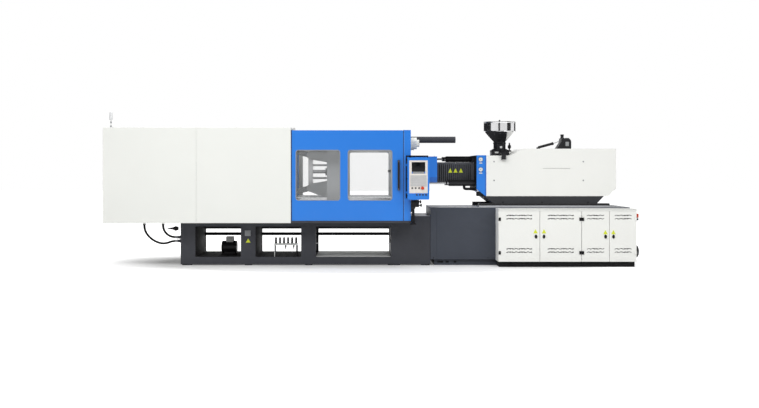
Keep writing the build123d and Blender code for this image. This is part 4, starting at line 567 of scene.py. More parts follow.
LONG_HOSE = (
    (-3.893, -0.625, 0.648),
    (-3.893, -0.625, 0.580),
    (-3.862, -0.620, 0.500),
    (-3.803, -0.610, 0.428),
    (-3.722, -0.597, 0.372),
    (-3.632, -0.583, 0.340),
    (-3.545, -0.573, 0.345),
    (-3.460, -0.568, 0.380),
    (-3.373, -0.568, 0.380),
)
SHORT_HOSE = (
    (-3.600, -0.625, 0.648),
    (-3.600, -0.625, 0.590),
    (-3.571, -0.618, 0.521),
    (-3.518, -0.600, 0.468),
    (-3.449, -0.580, 0.439),
    (-3.373, -0.580, 0.439),
)
HOSE_D = 0.035


def make_hose(name, node, route, material):
    """A hydraulic hose from its socket under the end cover to its fitting on the first leg."""
    points = [(x / MM, y / MM, z / MM) for x, y, z in route]
    hose = pipe(name, points, HOSE_D / 2 / MM, material, "machine")
    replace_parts(hose, node)


# Directions in the machine

UP = (0, 0, 1)
DOWN = (0, 0, -1)
FRONT = (0, -1, 0)
BACK = (0, 1, 0)
RIGHT = (1, 0, 0)
LEFT = (-1, 0, 0)


# The signal lamp on the end cover

LENS_H = 118
LENS_RIBS = 9
LAMP_POLE_R = 8
KNOT_R = 12
KNOT_H = 26
KNOT_RISES = (8, 70)
SOCKET_H = 9
RIB_SUNK = 1.4


def make_signal_lamp(lens_material, pole_material, knot_material):
    """A white pole with two dark knots and a tall ribbed lens."""
    x0, x1, _, _, foot, top = span("signal_lamp")
    x, y, _ = centre("signal_lamp")
    lens_r = (x1 - x0) / 2
    lens_z = top - LENS_H
    socket = [(0, lens_r), (3, lens_r), (7, LAMP_POLE_R + 4), (SOCKET_H, LAMP_POLE_R)]
    pole = Shape().turned((x, y, foot), UP, socket)
    pole.rod((x, y, foot + SOCKET_H), UP, lens_z - foot - SOCKET_H, LAMP_POLE_R)
    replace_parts(pole.piece("lamp_pole", pole_material), "signal_lamp")
    knots = Shape().turned_at([(x, y, foot + rise) for rise in KNOT_RISES], UP, blunt(KNOT_R, KNOT_H, 3, 2))
    knots.piece("lamp_knots", knot_material)
    outline = [(0, lens_r - 4), (3, lens_r)]
    pitch = (LENS_H - 16) / LENS_RIBS
    for n in range(LENS_RIBS):
        outline += [(5 + n * pitch, lens_r), (5 + (n + 0.5) * pitch, lens_r - RIB_SUNK)]
    outline += [(LENS_H - 11, lens_r), (LENS_H - 4, lens_r - 4), (LENS_H, lens_r - 14)]
    cap = Shape().turned((x, y, lens_z), UP, outline, 40)
    cap.piece("lamp_lens", lens_material)


# Guard doors

PANE_LAP = 12
WINDOW_GAP = 134
WINDOW_R = 30
GASKET_W = 9
GASKET_PROUD = 3
GASKET_DEEP = 26
LATCH_Z = 1477
LATCH_X = -12
LATCH_T = 14
LATCH_KNOB = ((0, 9), (16, 9), (18, 17), (30, 19), (34, 15))


def window_boxes(panes):
    """The two windows of a door, from the box round its panes."""
    x0, x1, _, _, z0, z1 = span(panes)
    left = x0 + PANE_LAP
    right = x1 - PANE_LAP
    width = (right - left - WINDOW_GAP) / 2
    return [(x, x + width, z0 + PANE_LAP, z1 - PANE_LAP) for x in (left, right - width)]


def make_door_trim(gasket, black):
    """Grey rubber frames round every window, and the latch inside the rear door."""
    for side, face, sign in (("front", span("front_door")[2], 1), ("rear", span("rear_door")[3], -1)):
        frames = Shape()
        for x0, x1, z0, z1 in window_boxes(side + "_door_panes"):
            frames.frame_y(x0 + 3, x1 - 3, z0 + 3, z1 - 3, face - sign * GASKET_PROUD, sign * GASKET_DEEP,
                           GASKET_W + 3, WINDOW_R)
        frames.piece(side + "_window_gaskets", gasket, side + "_door", sharp=50)
    back = span("rear_door")[2]
    latch = Shape().box(LATCH_X - 30, LATCH_X + 70, back - LATCH_T, back, LATCH_Z - 22, LATCH_Z + 22, 4)
    latch.turned((LATCH_X, back - LATCH_T, LATCH_Z), FRONT, LATCH_KNOB)
    latch.piece("rear_door_latch", black, "rear_door")


LINING_T = 1.6
LINING_INSET = 18
RIVET = ((0, 5), (2, 5), (3.4, 3))
RIVET_GAP = 22
RIVET_SHARES = (0.04, 0.35, 0.65, 0.96)


def make_door_lining(sheet, rivet):
    """Pale sheets on the inner faces of both doors, riveted round their windows."""
    for side, sign in (("front", 1), ("rear", -1)):
        x0, x1, y0, y1, z0, z1 = span(side + "_door")
        inner = y1 if sign > 0 else y0
        windows = window_boxes(side + "_door_panes")
        depth = sorted((inner, inner + sign * LINING_T))
        left = x0 + LINING_INSET
        right = x1 - LINING_INSET
        (first, first_end, low, high), (second, second_end, _, _) = windows
        sheets = Shape()
        sheets.box(left, right, *depth, z0 + LINING_INSET, low, 0.4)
        sheets.box(left, right, *depth, high, z1 - LINING_INSET, 0.4)
        for start, end in ((left, first), (first_end, second), (second_end, right)):
            sheets.box(start, end, *depth, low, high, 0.4)
        sheets.piece(side + "_door_lining", sheet, side + "_door")
        rivets = Shape()
        for start, end, _, _ in windows:
            for x in (start - RIVET_GAP, end + RIVET_GAP):
                places = [(x, inner, low + share * (high - low)) for share in RIVET_SHARES]
                rivets.turned_at(places, (0, sign, 0), RIVET, 14)
        rivets.piece(side + "_door_rivets", rivet, side + "_door")


TIE_OFFSET = 447
TIE_R = 55


def make_tie_caps(white):
    """Domed caps over the right ends of the tie bars."""
    nut_end = span("tie_bar_nuts")[1]
    reach = span("tie_bars")[1] - nut_end
    outline = [(0.5, TIE_R + 3), (2, TIE_R + 4), (reach - 8, TIE_R + 3)]
    outline += [(reach, TIE_R - 4), (reach + 2, TIE_R - 20)]
    offsets = (-TIE_OFFSET, TIE_OFFSET)
    places = [(nut_end, y, axis_z / MM + z) for y in offsets for z in offsets]
    Shape().turned_at(places, RIGHT, outline, 40).piece("tie_bar_caps", white)


GRIP_IN = 9
GRIP_R = 13
GRIP_INSET = 26
HANDLE_SCREW = ((0, 5), (6.6, 5), (7.4, 4.2), (7.4, 2.4), (5, 2.2))


def make_handle_trim(steel, grip_rubber):
    """Four socket screws in the feet of the pull handle, and its rubber grip."""
    _, _, y0, _, z0, z1 = span("front_door_handle")
    x = centre("front_door_handle")[0]
    places = [(x, y0 + 6, z) for z in (z0 + 12, z0 + 28, z1 - 28, z1 - 12)]
    Shape().turned_at(places, FRONT, HANDLE_SCREW, 16).piece("handle_screws", steel, "front_door")
    length = z1 - z0 - 2 * GRIP_INSET
    grip = Shape().turned((x, y0 + GRIP_IN, z0 + GRIP_INSET), UP, blunt(GRIP_R, length, 6, 4), 24)
    grip.piece("handle_grip", grip_rubber, "front_door")


def make_guard_seam(shade, light):
    """The dark gap where the door meets the fixed guard as painted shade, painted shade cast by the white
    cover along the door's left edge, and the guard's lit edge as a painted highlight.
    """
    left, _, face, _, z0, z1 = span("front_door")
    x = span("fixed_guards")[0]
    # Painted shade: a dark navy strip in the gap between the door and the fixed guard.
    slab("guard_seam", shade, box=(x - 2, x + 9, face - 1.2, face + 2, z0 + 2, z1 - 2))
    # Painted shade: the white cover's shadow along the door's left edge.
    slab("door_edge_painted_shade", shade, "front_door",
         box=(left - 0.5, left + 16, face - 1.2, face + 4, z0 + 2, z1 - 2, 0.6))
    # Painted highlight: a light blue strip down the guard's lit edge.
    slab("guard_edge_painted_highlight", light, box=(x + 9, x + 13, face - 2.4, face + 2, z0 + 2, z1 - 14, 1))


# The operator panel

PANEL_FRONT = 1098
PANEL_BACK = 1010
PANEL_LOW = 1042
PANEL_SIDE = 24
PANEL_TOP = 42
FASCIA_H = 503
FASCIA_SUNK = 6
SCREEN_W = 206
SCREEN_H = 176
SCREEN_TOP = 28
SCREEN_STRIP = 30
KEYPAD_TOP = 228
KEYPAD_H = 170
KEYPAD_SIDE = 18
KEY_COLUMNS = 8
KEY_ROWS = 6
KEY_W = 0.8
KEY_H = 0.72
BUTTON_Z = 1218
BUTTON_XS = (281, 333, 385)
STOP_X = 437
SMALL_KEY_RISE = 74
SMALL_KEY_X = 140
SMALL_KEY_PITCH = 47
SMALL_KEYS = 4
SMALL_KEY = ((0, 13.5), (2, 13.5), (3, 12), (8, 12), (10, 9.5))
PANEL_BODY = "operator_panel"
BUTTONS = ("start_button", "reset_button", "motor_button")
REAR_RIBS = 12
REAR_RIB_PITCH = 30


def make_panel_face(cream, keypad, glass, strip):
    """The fascia in its recess, with the screen in a frame and a field of membrane keys."""
    x0, x1, _, _, _, z1 = span("hmi_housing")
    left = x0 + PANEL_SIDE
    right = x1 - PANEL_SIDE
    top = z1 - PANEL_TOP
    y = -PANEL_FRONT + FASCIA_SUNK
    screen_x = (left + right) / 2 - SCREEN_W / 2
    screen_end = screen_x + SCREEN_W
    screen_top = top - SCREEN_TOP
    screen_low = screen_top - SCREEN_H
    fascia = Shape()
    for start, end, low, high in (
        (left + 1, right - 1, top - FASCIA_H + 1, screen_low), (left + 1, right - 1, screen_top, top - 1),
        (left + 1, screen_x, screen_low, screen_top), (screen_end, right - 1, screen_low, screen_top),
    ):
        fascia.box(start, end, y - 3, y, low, high, 0.8)
    fascia.piece("panel_fascia", cream, PANEL_BODY)
    strip_top = screen_low + SCREEN_STRIP
    slab("panel_screen", glass, PANEL_BODY,
         box=(screen_x, screen_end, y - 2, y + 2, strip_top, screen_top, 0.8))
    slab("panel_screen_bar", strip, PANEL_BODY,
         box=(screen_x + 12, screen_end - 12, y - 3.4, y + 2, screen_low + 2, strip_top, 1))
    left += KEYPAD_SIDE
    right -= KEYPAD_SIDE
    top -= KEYPAD_TOP
    pad = Shape().box(left, right, y - 4, y - 3, top - KEYPAD_H, top, 0.4)
    pitch_x = (right - left) / KEY_COLUMNS
    pitch_z = KEYPAD_H / KEY_ROWS
    half_w = pitch_x * KEY_W / 2
    half_h = pitch_z * KEY_H / 2
    for column in range(KEY_COLUMNS):
        for row in range(KEY_ROWS):
            x = left + (column + 0.5) * pitch_x
            z = top - (row + 0.5) * pitch_z
            pad.box(x - half_w, x + half_w, y - 5, y - 4, z - half_h, z + half_h, 0.5)
    pad.piece("panel_keypad", keypad, PANEL_BODY)


def make_panel_controls(black, red, ring_metal):
    """Rings, domed caps, the red mushroom and the four small keys below the fascia."""
    y = -PANEL_FRONT + FASCIA_SUNK - 3
    rings = Shape()
    for x in (*BUTTON_XS, STOP_X):
        size = 15 if x != STOP_X else 19
        rings.turned((x, y, BUTTON_Z), FRONT, [(0, size), (2, size), (3.4, size - 1.6)])
    rings.piece("panel_button_rings", ring_metal, PANEL_BODY)
    for x, node in zip(BUTTON_XS, BUTTONS):
        reach = y - span(node)[2]
        cap = [(0, 12.2), (reach - 3, 12.2), (reach, 10.6), (reach + 0.6, 7)]
        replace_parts(Shape().turned((x, y, BUTTON_Z), FRONT, cap, 32).piece(node + "_cap", black, node), node)
    reach = y - span("emergency_stop")[2]
    stem = [(0, 11), (reach - 16, 11), (reach - 15, 22)]
    head = [(reach - 13, 25), (reach - 5, 25), (reach - 1.5, 21), (reach, 12)]
    mushroom = Shape().turned((STOP_X, y, BUTTON_Z), FRONT, stem + head, 48)
    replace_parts(mushroom.piece("emergency_stop_mushroom", red, "emergency_stop", sharp=50), "emergency_stop")
    x0 = span("hmi_housing")[0] + SMALL_KEY_X
    z = PANEL_LOW + SMALL_KEY_RISE
    places = [(x0 + n * SMALL_KEY_PITCH, -PANEL_FRONT - 1, z) for n in range(SMALL_KEYS)]
    Shape().turned_at(places, FRONT, SMALL_KEY, 28).piece("panel_small_keys", black, PANEL_BODY)


def make_panel_back(black, grip):
    """The dark rear frame that shows to the left and over the top, with its two hooks."""
    x0, x1, _, _, _, z1 = span("hmi_housing")
    back = -PANEL_BACK
    rear = Shape()
    for low, high in ((PANEL_LOW + 18, PANEL_LOW + 96), (PANEL_LOW + 122, z1 - 128), (z1 - 100, z1 + 24)):
        z = (low + high) / 2
        rear.box(x0 - 24, x0 - 6, back - 26, back - 8, low, high, 5)
        rear.box(x0 - 16, x0 + 3, back - 22, back - 12, z - 12, z + 12, 2)
    rear.box(x0 - 24, x1 - 20, back - 26, back - 8, z1 + 8, z1 + 32, 4)
    rear.box(x1 - 34, x1 - 14, back - 30, back - 8, z1 - 40, z1 + 32, 4)
    rear.box(x0 + 30, x0 + 60, back - 26, back + 2, z1 - 6, z1 + 34, 4)
    rear.piece("panel_rear_frame", black, PANEL_BODY)
    cooling = Shape()
    for n in range(REAR_RIBS):
        z = PANEL_LOW + 130 + n * REAR_RIB_PITCH
        cooling.box(x0 + 70, x1 - 70, back - 1, back + 3, z, z + 12, 1)
    cooling.piece("panel_rear_ribs", grip, PANEL_BODY)


POST_X = 300
POST_Y = -985
KNOB_DROPS = ((34, 0), (88, 8))
STAR_KNOB = ((0, 14), (4, 25), (18, 25), (24, 15))
CONDUIT_TOP = PANEL_LOW - 92
CONDUIT_LOW = 700
CONDUIT_PITCH = 17
CONDUIT_FOOT = ((0, 46), (16, 46), (26, 30))


def make_panel_stand(black):
    """The clamp block under the panel with its two star knobs, the ribbed conduit and its foot."""
    foot = span("hmi_bracket")[4]
    x, y = POST_X, POST_Y
    block = Shape().box(x - 34, x + 88, y - 46, y + 40, PANEL_LOW - 116, PANEL_LOW - 6, 8)
    block.box(x - 22, x + 74, y - 52, y + 20, PANEL_LOW - 96, PANEL_LOW - 24, 6)
    for drop, reach in KNOB_DROPS:
        z = PANEL_LOW - drop
        block.rod((x + 86, y - 20, z), RIGHT, 22, 9, 1, 20)
        block.turned((x + 100 + reach, y - 20, z), RIGHT, STAR_KNOB, 7)
    block.piece("panel_clamp", black, sharp=40)
    outline = list(CONDUIT_FOOT)
    for n in range((CONDUIT_TOP - CONDUIT_LOW) // CONDUIT_PITCH):
        low = 30 + n * CONDUIT_PITCH
        outline += [(low, 19.6), (low + 8, 22.4), (low + 13, 22.4)]
    outline.append((CONDUIT_TOP - foot, 19.6))
    Shape().turned((x, y, foot), UP, outline, 28).piece("panel_conduit", black, sharp=50)


# The nozzle guard and the heater cover

HOOD_SCREW_YS = (-360, 160)
KICK_STRIP_H = 84


def make_nozzle_guard_trim(shade, steel):
    """A darker blue band along the foot of the purge door, and the hood's screws."""
    x0, x1, face, _, z0, z1 = span("nozzle_guard")
    slab("purge_door_strip", shade, "nozzle_guard",
         box=(x0 + 14, x1 - 1, face - 1.6, face + 1, z0 + 1, z0 + KICK_STRIP_H, 0.8))
    places = [(x, y, z1 + 6) for x in spread(x0 + 40, x1 - 40, 3) for y in HOOD_SCREW_YS]
    Shape().bolts(places, UP, 7).piece("hood_screws", steel)


PLATE_W = 66
PLATE_H = 69
PLATE_T = 2
PLATE_XS = (936, 1020, 1107)
PLATE_Z = 1452
SHADE_LINER_RIBS = 5
STRAP_SHARES = (0.25, 0.5, 0.75)


def triangle(x, y, z, width, height, thick):
    """The outline of a standing triangle and the push that gives it its thickness."""
    return [(x - width / 2, y, z), (x + width / 2, y, z), (x, y, z + height)], (0, -thick, 0)


def make_heat_plates(yellow, steel, shade_liner_black):
    """Three blank yellow triangles on the heater cover, its screws and straps, and a black liner inside as
    painted shade behind its slots.
    """
    x0, x1, face, back, z0, z1 = span("barrel_heat_cover")
    length = x1 - x0
    plates = Shape()
    for x in PLATE_XS:
        plates.prism(*triangle(x, face, PLATE_Z, PLATE_W, PLATE_H, PLATE_T), 1)
    plates.piece("heater_triangles", yellow, "carriage")
    places = [(x, z) for x in (x0 + 12, x0 + length / 2, x1 - 14) for z in (z0 + 12, z1 - 12)]
    screws = Shape().bolts([(x, face, z) for x, z in places], FRONT, 6)
    screws.bolts([(x, back, z) for x, z in places], BACK, 6)
    screws.piece("heater_cover_screws", steel, "carriage")
    # Painted shade: black sheets just inside the cover's walls darken what shows through its slots.
    shade_liner = Shape()
    for y in (face + 7, back - 10):
        shade_liner.box(x0 + 6, x1 - 6, y, y + 3, z0 + 6, z1 - 6, 1)
        for x in spread(x0, x1, SHADE_LINER_RIBS + 2)[1:-1]:
            shade_liner.box(x - 3, x + 3, y - 1, y + 4, z0 + 8, z1 - 8, 1)
    shade_liner.piece("heater_painted_shade_liner", shade_liner_black, "carriage")
    straps = Shape()
    for x in [x0 + share * length for share in STRAP_SHARES]:
        straps.box(x - 9, x + 9, face - 1.5, back + 1.5, z1 - 3, z1 + 3, 1)
    straps.piece("heater_cover_straps", steel, "carriage")


# The carriage

PLATE_BORE_R = 122
CYLINDER_Y = 300
CYLINDER_LOW = 1287
CYLINDER_HIGH = 1671
CAP_HALF = 47
CAP_IN = 33
GAUGE_X = 1386
GAUGE_ZS = (1661, 1502)
GAUGE_R = 36
GAUGE_TICKS = 11
GAUGE_START = 225
GAUGE_SWEEP = 270
LABEL_DROP = 58
SHIELD_LOW = 74
SHIELD_TOP = 3
COVER_SCREW_XS = (1597, 3003)
COVER_SCREW_ZS = (1626, 1329)
RECESS_X0 = 2365
RECESS_X1 = 2800
RECESS_Z = 1518
SLOT_X0 = 2665
SLOT_X1 = 3115
SLOT_LIP_YS = (-70, 62)
COVER_SCREW = ((0, 12), (1, 12), (3, 9.5), (3, 4.5), (1.5, 4))
SLED_BOLT_XS = (1737, 2352, 3077)
STRUT_FOOT = (2366, -60, 1858)
STRUT_KNEE = (2615, -60, 1925)
STRUT_HEAD = (2706, -60, 1958)
STRUT_NUT = ((0, 10), (4, 13), (20, 13), (26, 9))


def make_gauges(rim, dial, black, label):
    """Two pressure gauges with blank plates under them, on the side of the blue front plate."""
    face = span("carriage_front_panel")[2]
    x, r = GAUGE_X, GAUGE_R
    bezel = [(0, r), (9, r), (12, r - 2), (12, r - 5), (6, r - 5.5), (0, r - 6)]
    rims = Shape()
    dials = Shape()
    needles = Shape()
    plates = Shape()
    for z in GAUGE_ZS:
        rims.turned((x, face, z), FRONT, bezel, 48, hollow=True)
        dials.turned((x, face, z), FRONT, [(0, r - 5.2), (6.5, r - 5.2), (7, r - 6)], 48)
        for turn in spread(GAUGE_START, GAUGE_START - GAUGE_SWEEP, GAUGE_TICKS):
            tick_x = x + (r - 10) * cos(radians(turn))
            tick_z = z + (r - 10) * sin(radians(turn))
            needles.box(tick_x - 1, tick_x + 1, face - 7.5, face - 6.8, tick_z - 1, tick_z + 1)
        y = face - 8.4
        needles.prism([(x - 20, y, z - 14), (x + 3, y, z - 3), (x - 3, y, z + 3)], (0, 0.8, 0))
        needles.turned((x, face - 7, z), FRONT, [(0, 5), (2.6, 5), (3.4, 3.5)], 16)
        low = z - LABEL_DROP
        plates.box(x - 24, x + 24, face - 2, face, low - 10, low + 10, 0.8)
    rims.piece("gauge_rims", rim, "carriage")
    dials.piece("gauge_dials", dial, "carriage")
    needles.piece("gauge_needles", black, "carriage")
    plates.piece("gauge_plates", label, "carriage")


def make_front_plate_edges(shade, black):
    """Painted shade on the folded edge of the front plate, the shield inside it and the bracket behind its
    cut.
    """
    x0, x1, face, back, z0, z1 = span("carriage_front_panel")
    # Painted shade: darker blue strips on both faces along the plate's folded right edge.
    fold = Shape().box(x1 - 20, x1 + 0.5, face - 1.2, face + 3, z0 + 2, z1, 0.8)
    fold.box(x1 - 20, x1 + 0.5, back - 3, back + 1.2, z0 + 2, z1, 0.8)
    fold.piece("front_plate_fold_painted_shade", shade, "carriage")
    shield = Shape()
    low, high = z0 + SHIELD_LOW, z1 - SHIELD_TOP
    bore = PLATE_BORE_R
    for side, z in ((-1, CYLINDER_LOW), (1, CYLINDER_HIGH)):
        near, far = (-bore, face + 3) if side < 0 else (bore, back - 3)
        inner, outer = side * (CYLINDER_Y - CAP_HALF), side * (CYLINDER_Y + CAP_HALF)
        for across, up in (
            ((near, inner), (low, high)), ((outer, far), (low, high)),
            ((inner, outer), (low, z - CAP_HALF)), ((inner, outer), (z + CAP_HALF, high)),
        ):
            shield.box(x0 - 2, x0 + 1, *sorted(across), *up, 0.5)
    shield.box(x0 - 2, x0 + 1, -bore, bore, low, axis_z / MM - bore, 0.5)
    shield.box(x0 - 2, x0 + 1, -bore, bore, axis_z / MM + bore, high, 0.5)
    ys = (face + 30, face + 120, back - 120, back - 30)
    shield.bolts([(x0 - 2, y, z) for y in ys for z in (z0 + 100, z1 - 30)], LEFT, 8)
    shield.piece("front_plate_shield", black, "carriage")
    bracket = Shape().box(x0 + 2, x1 - 36, face + 6, face + 76, z0 - 2, z0 + 68, 4)
    bracket.bolt((x0 + 2, face + 41, z0 + 30), LEFT, 9)
    bracket.piece("front_bracket", black, "carriage")


def make_cover_trim(screw, seam, white, rubber_lip):
    """Screws, the finger recess with painted shade in its gap, the upper seam and the lip round the motor's
    slot.
    """
    x0, x1, face, back, z0, z1 = span("carriage_cover")
    screws = Shape()
    lips = Shape()
    gaps = Shape()
    for y, sign in ((face, -1), (back, 1)):
        places = [(x, y, z) for x in COVER_SCREW_XS for z in COVER_SCREW_ZS]
        screws.turned_at(places, (0, sign, 0), COVER_SCREW, 24)
        out = y + sign * 5
        lips.prism([(RECESS_X0, y, RECESS_Z), (RECESS_X1, y, RECESS_Z), (RECESS_X1, out, RECESS_Z + 4),
                    (RECESS_X0, out, RECESS_Z + 4)], (0, 0, 6), 1)
        lips.box(x0 + 2, x1 - 126, *sorted((y, y + sign)), z0, z0 + 5)
        depth = sorted((y - sign * 0.5, y + sign * 0.6))
        gaps.box(RECESS_X0 + 3, RECESS_X1 - 3, *depth, RECESS_Z - 5, RECESS_Z)
    screws.piece("carriage_cover_screws", screw, "carriage")
    lips.piece("carriage_cover_lips", white, "carriage")
    gaps.piece("carriage_cover_shadow_gaps", seam, "carriage")
    lip = Shape()
    for y in SLOT_LIP_YS:
        lip.box(SLOT_X0, SLOT_X1, y, y + 8, z1 - 2, z1 + 3, 1.5)
    lip.piece("slot_lips", rubber_lip, "carriage")


def make_sled_bolts(steel):
    """Hexagon bolts along the foot of the sled, on both sides."""
    _, _, face, back, z0, _ = span("carriage_frame")
    bolts = Shape().bolts([(x, face, z0 + 16) for x in SLED_BOLT_XS], FRONT, 10)
    bolts.bolts([(x, back, z0 + 16) for x in SLED_BOLT_XS], BACK, 10)
    bolts.piece("sled_bolts", steel, "carriage")


RAIL_BED_H = 28
RAIL_SCREWS = 14
RAIL_SCREW = ((0, 7), (4, 7), (5, 5.4), (5, 3), (3, 3))


def make_rail_beds(pale):
    """Pale strips with socket screws along the feet of the rails."""
    x0, x1, y0, y1, z0, _ = span("injection_rails")
    beds = Shape()
    for y, way in ((y0, FRONT), (y1, BACK)):
        beds.box(x0 + 1, x1 - 1, y - 1.5, y + 1.5, z0 + 1, z0 + RAIL_BED_H, 0.8)
        places = [(x, y, z0 + RAIL_BED_H / 2) for x in spread(x0 + 60, x1 - 60, RAIL_SCREWS)]
        beds.turned_at(places, way, RAIL_SCREW, 16)
    beds.piece("rail_beds", pale)


def make_strut(black, rod_metal):
    """The black tube that slopes up over the cover to the motor, with its thin rod."""
    foot, knee, head = Vector(STRUT_FOOT), Vector(STRUT_KNEE), Vector(STRUT_HEAD)
    along = (knee - foot).normalized()
    end = (knee - foot).length
    outline = [(0, 14), (6, 21), (end - 30, 21), (end - 24, 24), (end - 6, 24), (end, 14)]
    tube = Shape().turned(foot, along, outline, 28)
    tube.box(foot.x - 26, foot.x + 26, foot.y - 18, foot.y + 18, foot.z - 24, foot.z + 4, 4)
    tube.piece("strut_tube", black, "screw_ram")
    rest = (head - knee).normalized()
    rod = Shape().rod(knee - rest * 10, rest, (head - knee).length + 14, 7, 1, 20)
    rod.turned(head - rest * 18, rest, STRUT_NUT, 6)
    rod.piece("strut_rod", rod_metal, "screw_ram")


MOTOR_LOW = 1836
MOTOR_STUB = 64
MOTOR_X0 = 2742
MOTOR_HALF = 105
MOTOR_RIBS = 9
MOTOR_RIB_PITCH = 15
MOTOR_PLUG = ((0, 31), (8, 31), (12, 26), (40, 25.6), (44, 29), (62, 29), (63.5, 24))


def make_motor(black, steel, grey_metal):
    """Cooling ribs, end bells and a terminal box on the motor, and the plug on its stub."""
    x1 = span("screw_drive")[1]
    top = span("screw_drive")[5] - MOTOR_STUB
    ribs = Shape()
    for n in range(MOTOR_RIBS):
        z = MOTOR_LOW + 14 + n * MOTOR_RIB_PITCH
        inset = max(z - top + 60, 0) * 0.75
        for y in (-MOTOR_HALF, MOTOR_HALF):
            ribs.box(MOTOR_X0, x1 - 10 - inset, y - 3, y + 3, z, z + 6, 1.5)
    ribs.piece("motor_ribs", black, "screw_ram")
    bell = Shape().box(x1 - 92, x1 - 28, -98, 98, top - 12, top + 6, 5)
    bell.box(MOTOR_X0 + 58, MOTOR_X0 + 114, -109, -101, MOTOR_LOW + 44, MOTOR_LOW + 114, 3)
    bell.piece("motor_terminal", grey_metal, "screw_ram")
    bolts = Shape().bolts([(x, y, top) for y in (-80, 80) for x in (MOTOR_X0 + 18, x1 - 80)], UP, 8)
    bolts.piece("motor_bolts", steel, "screw_ram")
    plug = Shape().turned((MOTOR_X0 + 23, 0, top), UP, MOTOR_PLUG, 24)
    plug.piece("motor_plug", black, "screw_ram")


CYLINDER_X0 = 833
CYLINDER_X1 = 1321
CAP_W = 34
CAP_XS = (CYLINDER_X0 + 71, CYLINDER_X1 - 40)
CAP_ROD_OFFSETS = (-38, 38)
CYLINDER_BAND = ((0, 41), (2, 42), (344, 42), (346, 41), (346, 34), (0, 34))
CYLINDER_GLAND = ((-2, 22), (0, 37), (14, 37), (18, 31), (40, 31), (44, 38), (60, 38))
OIL_PIPE_R = 21
OIL_PIPE = (
    (1146, -CYLINDER_Y, 1262),
    (1146, -CYLINDER_Y, 1236),
    (1146, -CYLINDER_Y, 1200),
    (1176, -CYLINDER_Y, 1192),
    (1230, -CYLINDER_Y, 1192),
    (1330, -CYLINDER_Y, 1192),
)


def make_cylinders(black, steel, band):
    """End caps with tie rods on the traverse cylinders, their glands and an oil pipe with an elbow."""
    for y, z, name in ((-CYLINDER_Y, CYLINDER_LOW, "low"), (CYLINDER_Y, CYLINDER_HIGH, "high")):
        caps = Shape()
        for x in CAP_XS:
            for side in (-1, 1):
                low, high = sorted((side * CAP_HALF, side * CAP_IN))
                caps.box(x, x + CAP_W, y + low, y + high, z - CAP_HALF, z + CAP_HALF, 5)
                caps.box(x, x + CAP_W, y - CAP_IN - 4, y + CAP_IN + 4, z + low, z + high, 2)
        for place in [(CAP_XS[0], y + dy, z + dz) for dy in CAP_ROD_OFFSETS for dz in CAP_ROD_OFFSETS]:
            caps.rod(place, RIGHT, 400, 6, 1, 12)
            caps.bolt(place, LEFT, 8)
        caps.piece("cylinder_caps_" + name, black, "carriage")
        tube = Shape().turned((CAP_XS[0] + CAP_W, y, z), RIGHT, CYLINDER_BAND, 40, hollow=True)
        tube.piece("cylinder_band_" + name, band, "carriage")
        gland = Shape().turned((CYLINDER_X0, y, z), RIGHT, CYLINDER_GLAND)
        gland.piece("cylinder_gland_" + name, steel, "carriage")
    pipe("oil_pipe", OIL_PIPE, OIL_PIPE_R, black, "carriage")


# The hopper

HOPPER_R = 258
RIM_Z = 2270
SHOULDER_Z = 2114
NECK_Z = 1941
NECK_R = 88
BLOCK_TOP = 1815
BLOCK_BASE = 1746
NECK_H = NECK_Z - BLOCK_TOP
HINGE_X = 90
HINGE_Y0 = 240
HINGE_Y1 = 274
HINGE_BAR_Y = 267
HINGE_BAR_DROP = 9
NECK_BOLTS = (-118, 118)
NECK_HALF = 140
NECK_RIB_R = 96
COLLAR_BOLT_R = 98
CHUTE_Y = -590
CHUTE_DROP = 88
DRAIN_CAP = ((0, 12), (22, 10), (30, 20), (40, 27), (74, 27), (88, 12), (118, 11), (121, 8))


